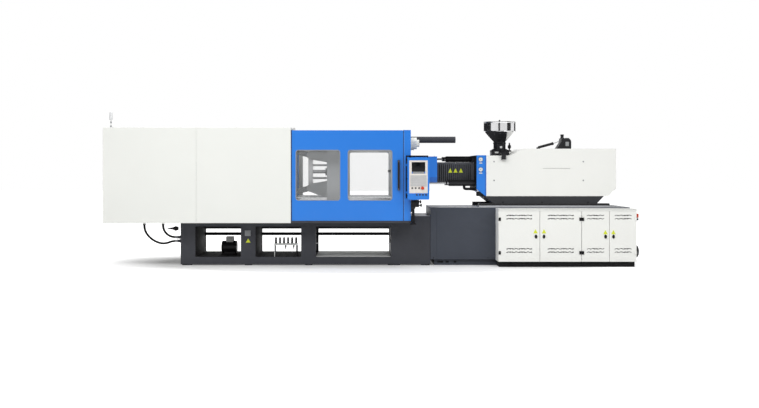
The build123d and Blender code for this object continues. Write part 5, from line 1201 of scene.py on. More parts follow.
def make_hopper(sheet, black, steel, label):
    """The spun hopper with its rolled rim and welds, on a black cast neck with a drain slide and chute."""
    x = centre("hopper")[0]
    r = HOPPER_R
    wall = 4
    weld = SHOULDER_Z - 14
    slope = (r - 15 - NECK_R) / (weld - NECK_Z)
    cone = [(NECK_Z, NECK_R), (NECK_Z + 2, NECK_R + 2 * slope), (weld - 2, r - 15 - 2 * slope),
            (weld, r - 15)]
    shoulder = [(-5, r - 4), (0, r - 1.5), (6, r - 2), (8, r), (11, r), (13, r - 2), (15, r - 2)]
    barrel = [(SHOULDER_Z + rise, radius) for rise, radius in shoulder]
    rim = [(18, r - 2), (16, r - 2), (14, r - 0.5), (8, r), (3, r - 0.4), (1, r - 2), (3, r - wall)]
    bead = [(RIM_Z - drop, radius) for drop, radius in rim]
    throat = BLOCK_BASE + 2
    inside = [(SHOULDER_Z, r - wall), (NECK_Z, NECK_R - 18), (throat, NECK_R - 18), (throat, NECK_R)]
    shell = Shape().turned((x, 0, 0), UP, cone + barrel + bead + inside, 128, hollow=True)
    for hinge in (x - HINGE_X, x + HINGE_X):
        shell.box(hinge - 9, hinge + 9, HINGE_Y0, HINGE_Y1, RIM_Z - 36, RIM_Z - 1, 2)
    shell.rod((x - HINGE_X - 9, HINGE_BAR_Y, RIM_Z - HINGE_BAR_DROP), RIGHT, 2 * HINGE_X + 18, 4.5, 0.5, 16)
    shell.piece("hopper_shell", sheet, "carriage", sharp=50)
    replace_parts(bpy.data.objects["hopper_shell"], "hopper")
    make_hopper_neck(x, black)
    make_hopper_chute(x, black)
    corners = [(x + dx, dy, BLOCK_TOP) for dx in NECK_BOLTS for dy in NECK_BOLTS]
    bolts = Shape().bolts(corners, UP, 10)
    for turn in [radians(angle) for angle in range(0, 360, 60)]:
        bolts.bolt((x + COLLAR_BOLT_R * cos(turn), COLLAR_BOLT_R * sin(turn), NECK_Z - 19), DOWN, 6)
    bolts.piece("hopper_bolts", steel, "carriage")
    slab("hopper_label", label, "carriage",
         box=(x - 92, x - 34, -NECK_HALF - 1.5, 1 - NECK_HALF, BLOCK_BASE + 18, BLOCK_BASE + 42, 0.6))
    slab("neck_label", label, "carriage",
         box=(x - 12, x + 22, -151.5, -149, BLOCK_TOP + 30, BLOCK_TOP + 62, 0.6))


def make_hopper_neck(x, black):
    """The cast neck between the carriage and the hopper, with ribs all round."""
    foot = [(0, 122), (16, 122), (22, 100), (30, NECK_R + 2)]
    collar = [(NECK_H - 24, NECK_R + 2), (NECK_H - 18, 104), (NECK_H - 2, 104), (NECK_H + 2, 98)]
    neck = Shape().turned((x, 0, BLOCK_TOP), UP, foot + collar, 64)
    neck.box(x - NECK_HALF, x + NECK_HALF, -NECK_HALF, NECK_HALF, BLOCK_BASE + 1, BLOCK_TOP, 6)
    neck.box(x - 60, x + 60, -150, -100, BLOCK_TOP - 12, BLOCK_TOP + 92, 5)
    for angle in range(0, 360, 45):
        turn = radians(angle + 22.5)
        rib_x = x + NECK_RIB_R * cos(turn)
        rib_y = NECK_RIB_R * sin(turn)
        neck.box(rib_x - 5, rib_x + 5, rib_y - 5, rib_y + 5, BLOCK_TOP + 16, NECK_Z - 18, 1.5)
    neck.piece("hopper_neck", black, "carriage", sharp=40)


def make_hopper_chute(x, black):
    """The drain chute to the front with its drop, and the cap of the slide beside the neck."""
    low = BLOCK_BASE - CHUTE_DROP
    chute = Shape().box(x - 38, x + 28, CHUTE_Y + 2, 1 - NECK_HALF, BLOCK_BASE + 1, BLOCK_BASE + 30, 3)
    drop = [(0, BLOCK_BASE + 8), (58, BLOCK_BASE + 30), (56, low), (2, low)]
    chute.prism([(x - 38, CHUTE_Y + y, z) for y, z in drop], (66, 0, 0), 3)
    chute.box(x - 44, x + 34, CHUTE_Y, CHUTE_Y + 60, low, low + 12, 3)
    chute.box(x - 44, x + 34, -300, -286, BLOCK_BASE - 4, BLOCK_BASE + 36, 3)
    chute.box(x + 139, x + 188, -30, 30, BLOCK_TOP - 24, BLOCK_TOP, 3)
    chute.turned((x + 160, 0, BLOCK_TOP), UP, DRAIN_CAP, 28)
    chute.piece("hopper_chute", black, "carriage", sharp=40)


LID_HALF = 78
LID_RIM = ((0, 252), (0.2, 256), (1.5, 258), (4, 257.4), (5.2, 254))
LID_GROOVE = ((5.4, 236), (3.6, 230), (3.6, 214), (5.2, 208), (5.2, 60), (7, 52), (7.4, 20))
KNOB_STEM = ((0, 17), (3, 20), (7, 20), (10, 9), (16, 8))
KNOB_GRIP = ((0, 7), (2, 11), (18, 13), (24, 8))


def make_hopper_lid(sheet, black):
    """The lid with a pressed rim and a slanted black grip on its knob."""
    x = centre("hopper_lid")[0]
    back = span("hopper_lid")[3]
    low = RIM_Z + 0.4
    bar_z = RIM_Z - HINGE_BAR_DROP
    lid = Shape().turned((x, 0, low), UP, LID_RIM + LID_GROOVE, 96)
    lid.box(x - LID_HALF, x + LID_HALF, HINGE_Y0, back - 1, low, low + 4.4, 1)
    lid.rod((x - LID_HALF, HINGE_BAR_Y, bar_z), RIGHT, 2 * LID_HALF, 8.4, 0.6, 24)
    lid.box(x - 60, x + 60, HINGE_BAR_Y - 8, HINGE_BAR_Y + 8, bar_z, low + 4, 1)
    lid.piece("hopper_lid_sheet", sheet, "hopper_lid", sharp=40)
    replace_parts(bpy.data.objects["hopper_lid_sheet"], "hopper_lid")
    knob = Shape().turned((x, 0, low + 5), UP, KNOB_STEM, 28)
    knob.turned((x - 6, 0, low + 14), (0.5, 0, 0.86), KNOB_GRIP, 24)
    knob.piece("hopper_lid_knob", black, "hopper_lid")


# The cabinet

CABINET_FACE = -950
DOOR_NODES = ("cabinet_door_1", "cabinet_door_2", "cabinet_door_3", "cabinet_door_4")
HINGE_INSET = 16
HINGE_ZS = (223, 738)
HINGE_R = 18
HINGE_H = 50
LOCK_INSET = 57
LOCK_Z = 471
LOCK_CYLINDER = ((0, 7), (3, 7), (4, 5), (4, 2))
TRIANGLE_INSETS = (65, 60, 58, 58)
TRIANGLE_ZS = (553, 553, 540, 540)
DOOR_PLATE_W = 70
DOOR_PLATE_H = 66
LOUVRE_ZS = (223, 274, 736, 787)
LOUVRE_SIDE = 110
WAVE_INSETS = (120, 120, 78, 78)
WAVE_PITCH = 31
WAVE_H = 10
WAVE_T = 9


def oval(x, y, z, half_w, half_h, steps=36):
    """The outline of an oval seen from the front."""
    turns = [2 * pi * n / steps for n in range(steps)]
    return [(x + half_w * cos(turn), y, z + half_h * sin(turn)) for turn in turns]


def wave(x0, x1, inset, z):
    """The slanting strips of a wavy louvre lip: each one's low left and low right corner."""
    count = round((x1 - x0 - 2 * inset) / WAVE_PITCH)
    pitch = (x1 - x0 - 2 * inset) / count
    corners = []
    for n in range(count):
        start = x0 + inset + n * pitch
        first, second = (z, z + WAVE_H) if n % 2 == 0 else (z + WAVE_H, z)
        corners.append(((start, first), (start + pitch, second)))
    return corners


def make_cabinet_doors(black, white_cap, yellow, steel, shade):
    """Hinge caps, oval locks, blank yellow triangles, and black louvre lips with black sheets behind the
    louvres as painted shade, each riding its door.
    """
    face = CABINET_FACE
    for n, door in enumerate(DOOR_NODES):
        x0, x1, _, back, _, _ = span(door)
        hinge_x, edge, free = (x0 + HINGE_INSET, x1, -1) if n in (0, 2) else (x1 - HINGE_INSET, x0, 1)
        places = [(hinge_x, face - 3, z - HINGE_H / 2) for z in HINGE_ZS]
        hinges = Shape().turned_at(places, UP, blunt(HINGE_R, HINGE_H, 3, 4), 28)
        hinges.piece(door + "_hinges", white_cap if n == 3 else black, door)
        x = edge + free * LOCK_INSET
        lock = Shape().prism(oval(x, face - 12, LOCK_Z, 21, 30), (0, -4.5, 0), 1.4)
        lock.box(x - 9, x + 9, face - 23, face - 16, LOCK_Z - 14, LOCK_Z + 22, 3)
        lock.turned((x, face - 22, LOCK_Z - 8), FRONT, LOCK_CYLINDER, 20)
        lock.piece(door + "_lock", black, door, sharp=50)
        ring = Shape().prism(oval(x, face, LOCK_Z, 22.5, 31.5), (0, -3, 0), 1)
        ring.piece(door + "_lock_seat", steel, door)
        x = edge + free * TRIANGLE_INSETS[n]
        low = TRIANGLE_ZS[n] - DOOR_PLATE_H / 2
        plate = Shape().prism(*triangle(x, face, low, DOOR_PLATE_W, DOOR_PLATE_H, 1.2), 0.4)
        plate.piece(door + "_triangle", yellow, door)
        # Painted shade: black wavy lips over the louvre rows and black sheets behind them darken the slots.
        waves = Shape()
        painted_shade_sheets = Shape()
        for z in LOUVRE_ZS:
            for (left, first), (right, second) in wave(x0, x1, WAVE_INSETS[n], z):
                strip = [(left, first), (right, second), (right, second + WAVE_T), (left, first + WAVE_T)]
                waves.prism([(x, face - 1, z) for x, z in strip], (0, 2, 0))
            painted_shade_sheets.box(x0 + LOUVRE_SIDE - 12, x1 - LOUVRE_SIDE + 12, back - 1, back + 3, z - 8, z + 26, 1)
        waves.piece(door + "_louvre_lips_painted_shade", shade, door)
        painted_shade_sheets.piece(door + "_filters", shade, door)


KICK_TOP = 85
KICK_INSET = 20
KICK_PROUD = 1.5
KICK_END = 3717.5
LINTEL_LINE_Z = 880
SWITCH_REACH = 3800
SWITCH_SEAT = 44
SWITCH_PROUD = 1.8
SWITCH_SCREWS = (-36, 36)
SWITCH_KNOB = ((0, 30), (2, 33.6), (56, 34), (62, 31), (62, 22))
SWITCH_SCREW = ((0, 4), (1.6, 4), (2.4, 2.6))


def make_cabinet_trim(black, shade, red, steel):
    """The kick plate in the recess under the cabinet, flat black as painted shade, the groove over the doors
    as a painted shade line, and the main switch on its seat with a socket.
    """
    x0, x1, face, back, _, _ = span("cabinet_shell")
    kick_x0 = x0 + KICK_INSET
    kick_y = span(DOOR_NODES[0])[3] + 40
    kick_top = KICK_TOP - 1
    # Painted shade: the recessed kick plate is flat black for the shadow under the cabinet.
    kick = Shape().box(kick_x0 - 1, KICK_END + KICK_PROUD, kick_y - KICK_PROUD, kick_y + 2, 0.5, kick_top, 1)
    for x in (kick_x0 - KICK_PROUD, KICK_END - 2):
        kick.box(x, x + 2 + KICK_PROUD, kick_y - 1, back, 0.5, kick_top, 0.6)
    kick.piece("cabinet_kick_painted_shade", black)
    line = LINTEL_LINE_Z
    # Painted shade: a grey line for the shade in the gap over the doors.
    slab("cabinet_groove_painted_shade", shade, box=(x0 + 2, x1 - 2, face - 0.8, face + 2, line, line + 5))
    start, _, y0, y1, _, _ = span("main_switch")
    _, y, z = centre("main_switch")
    half = SWITCH_SEAT
    outer = x1 + SWITCH_PROUD
    slab("switch_seat", shade, box=(x1 - 0.5, outer, y - half, y + half, z - half, z + half, 0.8))
    knob = Shape().turned((start, y, z), RIGHT, SWITCH_KNOB, 40)
    knob.box(start + 50, SWITCH_REACH, y - 8, y + 8, z - 31, z + 31, 3)
    knob.piece("switch_knob", red, "main_switch", sharp=40)
    socket = Shape().box(x1 - 1, SWITCH_REACH - 10, y0, y1, z - 70, z - 37, 4)
    for dy in (-16, 16):
        socket.rod((SWITCH_REACH - 12, y + dy, z - 53), RIGHT, 6, 8, 1, 20)
    socket.piece("switch_socket", black)
    corners = [(outer, y + dy, z + dz) for dy in SWITCH_SCREWS for dz in SWITCH_SCREWS]
    Shape().turned_at(corners, RIGHT, SWITCH_SCREW, 14).piece("switch_screws", steel)


COWL_SCREW = ((0, 4), (6, 4), (7, 2.5))
COWL_BOWL = ((0, 1), (24, 0.99), (44, 0.93), (56, 0.82), (64, 0.62), (68, 0.34), (68.6, 0.08))


def make_cowl(black, steel):
    """The fan's bowl with rings over it, and its four screws."""
    x0, _, y0, y1, _, _ = span("fan_cowl")
    _, y, z = centre("fan_cowl")
    r = (y1 - y0) / 2 - 1
    bowl = Shape().turned((x0, y, z), RIGHT, [(along, r * share) for along, share in COWL_BOWL], 64)
    for along, share in COWL_BOWL[1:-1]:
        ring = r * share
        outline = [(-2.4, ring - 4), (-2.4, ring + 0.9), (0.4, ring - 0.2), (0.4, ring - 4)]
        bowl.turned((x0 + along, y, z), RIGHT, outline, 64, hollow=True)
    cowl = bowl.piece("cowl_bowl", black, sharp=50)
    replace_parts(cowl, "fan_cowl")
    turns = [radians(45 + 90 * n) for n in range(4)]
    places = [(x0 + 20, y + (r - 3) * cos(turn), z + (r - 3) * sin(turn)) for turn in turns]
    Shape().turned_at(places, RIGHT, COWL_SCREW, 14).piece("cowl_screws", steel)


# The bases

DECK_T = 3
DECK_SIDE = 600
STEP_DECK_X0 = 286
STEP_Z = 771
PLINTH_FACE = -540
SLOT_Z0 = 36
SLOT_Z1 = 64
BASE_BOLT_Z = 116
LEG_FACE = -600
LEG_PLATE = (-2322, -2231, 459, 548)
LEG_TRIANGLE_X = -2270
LEG_TRIANGLE_Z = 356
LEG_TRIANGLE_W = 72
LEG_TRIANGLE_H = 64
FOOT_XS = (-2270, -1325, -20)
FOOT_PAD = ((0, 60), (10, 60), (14, 52), (15.5, 30))
FOOT_LIFT = 0.3
FOOT_IN = 60
STUD_Z = 15
STUD = ((0, 12), (116, 12))
STUD_NUT = 18
SLOT_ROWS = ((700, 790), (830, 880), (960, 1000))
LOW_BEAM_Z = 131
BAY_HALF = 590
BAYS = ((-3099, -2385), (-2155, -1440))
PARTS_BAY = (-1210, -33)
SHADE_PAN_CREASES = 5
SHADE_PAN_WALLS = (640, 220)
LAG_Y = 455
LAG_Z = 433
LAG_R = 25
LAG_BANDS = 3


def make_decks(pale, black, steel):
    """Pale plates on the tops of the injection base and the step beside it as a painted reflection of the
    white room, and black patches in the plinth's forklift slots as painted shade.
    """
    x0, x1, _, _, _, top = span("injection_base")
    half = DECK_SIDE - 2
    # Painted reflection: pale plates give the light grey that the dark tops show at a grazing view.
    slab("injection_deck_painted_reflection", pale, box=(x0 + 3, x1 - 3, -half, half, top - 1, top + DECK_T, 1))
    slab("step_deck_painted_reflection", pale, box=(STEP_DECK_X0, x0 - 2, -half, half, STEP_Z - 1, STEP_Z + DECK_T, 1))
    # Painted shade: black patches for the dark inside of the forklift slots.
    slots = Shape()
    for left, right in SLOT_ROWS:
        slots.box(left, right, PLINTH_FACE - 1.5, PLINTH_FACE + 2, SLOT_Z0, SLOT_Z1, 1)
    slots.piece("plinth_slots_painted_shade", black)
    places = [(x0 + 46, LEG_FACE - 8, BASE_BOLT_Z), (x0 + 900, LEG_FACE, BASE_BOLT_Z)]
    Shape().bolts(places, FRONT, 8).piece("base_bolts", steel)


def make_leg_plates(grey_plate, yellow):
    """A bare plate and a blank yellow triangle on the second leg."""
    x0, x1, z0, z1 = LEG_PLATE
    Shape().box(x0, x1, LEG_FACE - 2, LEG_FACE, z0, z1, 0.8).piece("leg_plate", grey_plate)
    outline, push = triangle(LEG_TRIANGLE_X, LEG_FACE, LEG_TRIANGLE_Z, LEG_TRIANGLE_W, LEG_TRIANGLE_H, 1.2)
    plate = Shape().prism(outline, push, 0.4)
    plate.piece("leg_triangle", yellow)


def make_feet(black, steel):
    """Levelling pads with their studs and nuts under the clamp's base."""
    x0, x1, _, _, _, _ = span("clamp_base_frame")
    pads = Shape()
    studs = Shape()
    for x in (x0 + 115, *FOOT_XS, x1 - 70):
        for y in (LEG_FACE + FOOT_IN, -LEG_FACE - FOOT_IN):
            pads.turned((x, y, FOOT_LIFT), UP, FOOT_PAD, 40)
            studs.turned((x, y, STUD_Z), UP, STUD, 16)
            studs.bolt((x, y, LOW_BEAM_Z), UP, STUD_NUT)
    pads.piece("foot_pads", black)
    studs.piece("foot_studs", steel)


MANIFOLD_Z = 325
MANIFOLD_Y = -540
MANIFOLD_IN = 291
MANIFOLD_W = 369
MANIFOLD_HALF = 17.5
BARBS = 6
BARB_INSET = 26
TAPS = (2.4, 4.4)
TAP = ((0, 12), (18, 12), (20, 9), (52, 9), (60, 5))


def make_manifold(black, pale):
    """A pale bar with dark hose barbs above, two drain taps below and thin legs."""
    low = span("water_manifold")[4]
    x0 = BAYS[1][0] + MANIFOLD_IN
    x1 = x0 + MANIFOLD_W
    y, z, half = MANIFOLD_Y, MANIFOLD_Z, MANIFOLD_HALF
    bar = Shape().box(x0 - 1, x1 + 1, y - half, y + half, z - 17, z + 17, 3)
    bar.box(x0 - 1, x0 + 12, y - half, y + half, low, z, 2)
    bar.piece("manifold_bar", pale)
    outline = [(0, 22), (12, 22), (13, 16)]
    for n in range(5):
        outline += [(16 + n * 12, 15.6), (25 + n * 12, 19), (26 + n * 12, 15.6)]
    outline += [(84, 15.6), (94, 12), (97.5, 8)]
    first = x0 + BARB_INSET
    places = [(x, y, z + 16) for x in spread(first, x1 - BARB_INSET, BARBS)]
    barbs = Shape().turned_at(places, UP, outline, 20)
    for share in TAPS:
        x = first + share * (MANIFOLD_W - 2 * BARB_INSET) / (BARBS - 1)
        barbs.turned((x, y, z - 14), DOWN, TAP, 18)
        barbs.box(x - 20, x + 20, y - 26, y - 18, z - 34, z - 26, 2)
    barbs.box(x1 - 14, x1 + 1, y - 18, y + 18, low - 1, z - 18, 2)
    barbs.piece("manifold_barbs", black)


PUMP_AXIS = 108
PUMP_FINS = 14
PUMP_FIN_PITCH = 13
PUMP_FIN = ((0, 104), (1, 108), (5, 108), (6, 104))
PUMP_FAN = ((0, 60), (6, 92), (14, 104), (28, 104))
PUMP_BOX_HALF = 60
PUMP_BOX_Z = 300
PUMP_SCREW_ZS = (358, 402)
PUMP_SCREW = ((0, 4), (2, 4), (3, 2.6))


def make_pump_trim(black, pale, steel):
    """Cooling fins and a fan cap on the pump's motor, and the lid of its terminal box."""
    x0, _, _, _, z0, z1 = span("pump_motor")
    z = z0 + PUMP_AXIS
    places = [(x0 + 22 + n * PUMP_FIN_PITCH, 0, z) for n in range(PUMP_FINS)]
    fins = Shape().turned_at(places, RIGHT, PUMP_FIN, 48)
    fins.turned((x0 - 26, 0, z), RIGHT, PUMP_FAN, 48)
    fins.piece("pump_fins", black, sharp=40)
    x = centre("pump_motor")[0]
    half = PUMP_BOX_HALF
    slab("pump_terminal_box", pale, box=(x - half, x + half, -half, half, PUMP_BOX_Z, z1 + 2, 5))
    corners = [(x + dx, -half, z) for dx in (-46, 46) for z in PUMP_SCREW_ZS]
    Shape().turned_at(corners, FRONT, PUMP_SCREW, 12).piece("pump_screws", steel)


BOOT_TIP_X = -3545
BOOT_Z = 575
BOOT_Y = -560
HOSE_LEG_X = -3373
FITTINGS = ((-568, 380), (-580, 439))
SLEEVE = ((0, 18.4), (4, 20), (20, 20), (22, 18.4))
FITTING_NUT = ((0, 21), (3, 23), (16, 23), (19, 21), (22, 21))
COLLARS = ((-3893, -625, 632), (-3600, -625, 632))
COLLAR = ((0, 19), (4, 23), (14, 23), (16, 21))
BOOT = ((0, 3), (14, 7), (84, 17), (112, 28), (120, 36), (146, 36), (150, 30), (173, 30))


def make_hose_fittings(black, bright):
    """A tapered rubber boot beside the hoses, and a bright fitting and flange where each hose ends."""
    boot = Shape().turned((BOOT_TIP_X, BOOT_Y, BOOT_Z), RIGHT, BOOT, 32)
    boot.piece("cable_boot", black, sharp=40)
    fittings = Shape()
    for y, z in FITTINGS:
        fittings.turned((HOSE_LEG_X - 44, y, z), RIGHT, SLEEVE, 24)
        fittings.turned((HOSE_LEG_X - 22, y, z), RIGHT, FITTING_NUT, 6)
    fittings.piece("hose_fittings", bright)
    Shape().turned_at(COLLARS, UP, COLLAR, 6).piece("hose_collars", black)


HEADER_LOW = 2110
HEADER_RIVET = ((0, 5), (2, 5), (3, 3))
HEADER_RIVETS = 9


def make_cover_header(white):
    """The turned-in sheet over the open end of the toggle cover, folded along its low edge."""
    _, x1, y0, y1, _, z1 = span("toggle_cover")
    header = Shape().box(x1 - 2, x1 + 0.6, y0 + 4, y1 - 4, HEADER_LOW, z1 - 2, 0.5)
    header.box(x1 - 16, x1, y0 + 4, y1 - 4, HEADER_LOW, HEADER_LOW + 3, 0.5)
    places = [(x1, y, (HEADER_LOW + z1) / 2) for y in spread(y0 + 60, y1 - 60, HEADER_RIVETS)]
    header.turned_at(places, RIGHT, HEADER_RIVET, 14)
    header.piece("toggle_cover_header", white)


# The parts bay

TRAY_SHEET = 3
TRAY_FALL = 58
HEM = 8
END_SLOPE = 120


def make_tray(sheet, black):
    """The parts tray: a chute of folded sheet that falls to the back between two tall ends."""
    x0, x1, y0, y1, z0, z1 = span("discharge_tray")
    high = z0 + TRAY_FALL
    fold = y0 + HEM
    floor = [(y0, high), (y1, z0), (y1, z0 + TRAY_SHEET)]
    floor += [(fold, high + TRAY_SHEET), (fold, high - HEM), (y0, high - HEM)]
    tray = Shape().prism([(x0, y, z) for y, z in floor], (x1 - x0, 0, 0))
    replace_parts(tray.piece("parts_chute", sheet), "discharge_tray")
    ends = [(y0, high - HEM), (y1, z0), (y1, z1), (y0 + END_SLOPE, z1), (y0, high + TRAY_SHEET)]
    tray = Shape()
    for x in (x0, x1 - TRAY_SHEET):
        tray.prism([(x, y, z) for y, z in ends], (TRAY_SHEET, 0, 0))
        tray.box(x - 1.5, x + TRAY_SHEET + 1.5, y0 + END_SLOPE, y1, z1 - HEM, z1, 1)
    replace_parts(tray.piece("parts_chute_ends", black), "discharge_tray")


def make_bay_shade_pans_and_lagging(black):
    """Black pans on the low beams of the two left bays, turned up at the legs, as painted shade, and a lagged
    pipe.
    """
    # Painted shade: black sheets where shade falls on and between the low beams.
    shade_pans = Shape()
    low = LOW_BEAM_Z
    half = BAY_HALF - 2
    for x0, x1 in BAYS:
        shade_pans.box(x0, x1, -BAY_HALF, BAY_HALF, low - 3, low + 1)
        shade_pans.box(x0 - 0.5, x0 + 3, -half, half, low, SHADE_PAN_WALLS[0], 1)
        shade_pans.box(x1 - 3, x1 + 0.5, -half, half, low, SHADE_PAN_WALLS[1], 1)
        for x in spread(x0, x1, SHADE_PAN_CREASES + 2)[1:-1]:
            shade_pans.box(x - 4, x + 4, 30 - BAY_HALF, BAY_HALF - 30, low, low + 5, 1)
    shade_pans.piece("bay_painted_shade_pans", black)
    lagging = Shape()
    for x0, x1 in (*BAYS, PARTS_BAY):
        lagging.rod((x0 + 4, LAG_Y, LAG_Z), RIGHT, x1 - x0 - 8, LAG_R, 3, 28)
        for x in spread(x0, x1, LAG_BANDS + 2)[1:-1]:
            lagging.rod((x - 8, LAG_Y, LAG_Z), RIGHT, 16, LAG_R + 1.4, 1, 28)
    lagging.piece("pipe_lagging", black)


def make_bay_floor(sheet):
    """The sheet that lies on the low beams of the parts bay, creased along its middle to let oil run off."""
    x0 = PARTS_BAY[0] + 1
    x1 = PARTS_BAY[1] - 1
    low = LOW_BEAM_Z
    half = BAY_HALF
    outline = [(-half, low + 1), (0, low - 3), (half, low + 1), (half, low + 4), (0, low), (-half, low + 4)]
    floor = Shape().prism([(x0, y, z) for y, z in outline], (x1 - x0, 0, 0))
    floor.piece("bay_floor", sheet)


# Tops and backs

HATCH_SIDE = 90
HATCH_T = 2
HATCH_GAP = 20
HATCH_SCREWS = 6
HATCH_SCREW = ((0, 8), (2, 8), (3.4, 6), (3.4, 3), (2, 2.6))
VENTS = 14
VENT_PITCH = 30
VENT_HALF = 90
EYE_R = 14
EYE_WIRE = 5
EYE_STEPS = 24
EYE_END = 45
EYE_BACK = 320
EYE_FOOT = ((0, 24), (4, 24), (9, 14), (14, 10), (24, 10))


def eye_bolt(shape, x, y, z):
    """A lifting eye screwed into a top face."""
    shape.turned((x, y, z), UP, EYE_FOOT, 24)
    turns = [2 * pi * n / EYE_STEPS for n in range(EYE_STEPS)]
    ring = [(x + EYE_R * cos(turn), z + 22 + EYE_R * (1 + sin(turn))) for turn in turns]
    for (x0, z0), (x1, z1) in zip(ring, ring[1:] + ring[:1]):
        along = Vector((x1 - x0, 0, z1 - z0))
        end = along.length
        outline = [(-1, EYE_WIRE - 1), (0, EYE_WIRE), (end, EYE_WIRE), (end + 1, EYE_WIRE - 1)]
        shape.turned((x0, y, z0), along, outline, 10)


def make_cover_tops(white, seam, steel, black):
    """Bolted hatches with painted shade in the seams round them, vents and lifting eyes on the roofs of the
    two covers.
    """
    hatches = Shape()
    seams = Shape()
    screws = Shape()
    vents = Shape()
    eyes = Shape()
    for node in ("clamp_end_cover", "toggle_cover"):
        x0, x1, y0, y1, _, top = span(node)
        left, right = x0 + HATCH_SIDE, x1 - HATCH_SIDE
        lid = top + HATCH_T
        for low, high in ((y0 + HATCH_SIDE, -HATCH_GAP), (HATCH_GAP, y1 - HATCH_SIDE)):
            # Painted shade: a grey border round each hatch.
            seams.box(left - 5, right + 5, low - 5, high + 5, top - 1, top + 0.5)
            hatches.box(left, right, low, high, top, lid, 1)
            xs = spread(left + 30, right - 30, HATCH_SCREWS)
            screws.turned_at([(x, y, lid) for x in xs for y in (low + 25, high - 25)], UP, HATCH_SCREW, 18)
            middle = (low + high) / 2
            for n in range(VENTS):
                x = (left + right) / 2 + (n - VENTS / 2) * VENT_PITCH
                vents.box(x, x + 16, middle - VENT_HALF, middle + VENT_HALF, lid, lid + 3, 1)
        for x in (x0 + EYE_END, x1 - EYE_END):
            eye_bolt(eyes, x, y1 - EYE_BACK, top)
    seams.piece("roof_seams_painted_shade", seam)
    hatches.piece("roof_hatches", white)
    screws.piece("roof_screws", steel)
    vents.piece("roof_vents", black)
    eyes.piece("roof_eyes", steel, sharp=50)


PLATEN_INSET = 110
EYE_YS = (-150, 330)
GREASE_YS = (36, 123)
GREASE_NIPPLE = ((0, 7), (6, 7), (7, 4), (12, 4))


def make_platen_trim(steel, grease):
    """Lifting eyes, grease blocks and their pipes on the platens' tops."""
    for node, body in (("fixed_platen", "machine"), ("moving_platen", "clamp_platen")):
        x0, x1, _, _, _, top = span(node)
        x = x1 - PLATEN_INSET if node == "moving_platen" else x0 + PLATEN_INSET
        eyes = Shape()
        for y in EYE_YS:
            eye_bolt(eyes, x, y, top)
        eyes.piece(node + "_eyes", steel, body, sharp=50)
        block = Shape().box(x - 22, x + 22, 20, 140, top, top + 30, 4)
        block.turned_at([(x, y, top + 30) for y in spread(*GREASE_YS, 4)], UP, GREASE_NIPPLE, 6)
        block.piece(node + "_grease_block", grease, body)
        for n, (start, end) in enumerate(zip(GREASE_YS, (-TIE_OFFSET, TIE_OFFSET))):
            run = [(x, start, top + 40), (x, start, top + 20), (x + 14, start, top + 6),
                   (x + 14, end * 0.6, top + 6), (x + 14, end, top + 6), (x + 14, end, top - 2)]
            pipe(f"{node}_grease_pipe_{n}", run, 4, steel, body)


BACK_DOORS = ((700, 1560), (1640, 2500), (2580, 3440))
BACK_DOOR_Z0 = 130
BACK_DOOR_Z1 = 700
BACK_SCREW = ((0, 7), (2, 7), (3.4, 5))
BACK_SCREWS = 6
DUCT = (640, 3660)
DUCT_Z0 = 760
DUCT_Z1 = 822
DUCT_SLOTS = 40
DUCT_PITCH = 75
GLASS_X = 1032
GLASS_ZS = (440, 330)
GLASS_Z0 = 300
GLASS_Z1 = 470
GLASS_SCREW = ((0, 12), (5, 12), (7, 9))
FILLER_X = 1900
FILLER_Z = 590
FILLER_GRIPS = 12
FILLER_GRIP_R = 46
FILLER = ((0, 48), (10, 48), (14, 40), (30, 40), (34, 46), (60, 46), (66, 38))


def make_base_back(slate, steel, black, label):
    """Bolted access plates, an oil glass, a filler and a cable duct on the back of the injection base."""
    back = span("injection_base")[3] - 8
    skin = back + 4
    plates = Shape()
    screws = Shape()
    for x0, x1 in BACK_DOORS:
        plates.box(x0, x1, back - 1, skin, BACK_DOOR_Z0, BACK_DOOR_Z1, 1.5)
        plates.box(x0 + 30, x1 - 30, back + 3, back + 5, BACK_DOOR_Z0 + 30, BACK_DOOR_Z1 - 30, 1)
        for x in spread(x0 + 16, x1 - 16, BACK_SCREWS):
            places = [(x, skin, z) for z in (BACK_DOOR_Z0 + 14, BACK_DOOR_Z1 - 14)]
            screws.turned_at(places, BACK, BACK_SCREW, 16)
    plates.piece("base_back_plates", slate)
    screws.piece("base_back_screws", steel)
    duct = Shape().box(*DUCT, back - 1, back + 62, DUCT_Z0, DUCT_Z1, 4)
    for n in range(DUCT_SLOTS):
        x = DUCT[0] + 20 + n * DUCT_PITCH
        duct.box(x, x + 44, back + 58, back + 64, DUCT_Z0 + 6, DUCT_Z1 - 6, 1)
    duct.piece("cable_duct", black)
    glass = Shape().box(GLASS_X - 22, GLASS_X + 22, skin, back + 20, GLASS_Z0, GLASS_Z1, 5)
    glass.turned_at([(GLASS_X, back + 20, z) for z in GLASS_ZS], BACK, GLASS_SCREW, 24)
    glass.piece("oil_glass", label)
    filler = Shape().turned((FILLER_X, skin, FILLER_Z), BACK, FILLER, 40)
    for n in range(FILLER_GRIPS):
        turn = 2 * pi * n / FILLER_GRIPS
        x = FILLER_X + FILLER_GRIP_R * cos(turn)
        z = FILLER_Z + FILLER_GRIP_R * sin(turn)
        filler.box(x - 4, x + 4, back + 40, back + 60, z - 4, z + 4, 1)
    filler.piece("oil_filler", black)


# Cards that only polished metal sees

CARD_R = 7.0
CARD_LOW = 1.88
CARD_HIGH = 10.9
CARD_STEPS = 12
CARDS = ((-171, -71), (-16, -3), (48, 81), (122, 171))
CARD_BLACK = (0.030, 0.030, 0.032)
LOW_CARD = ((-1.3, -0.8), (0.24, -0.8), (0.24, 0.8), (-1.3, 0.8))
LOW_CARD_Z = 1.835


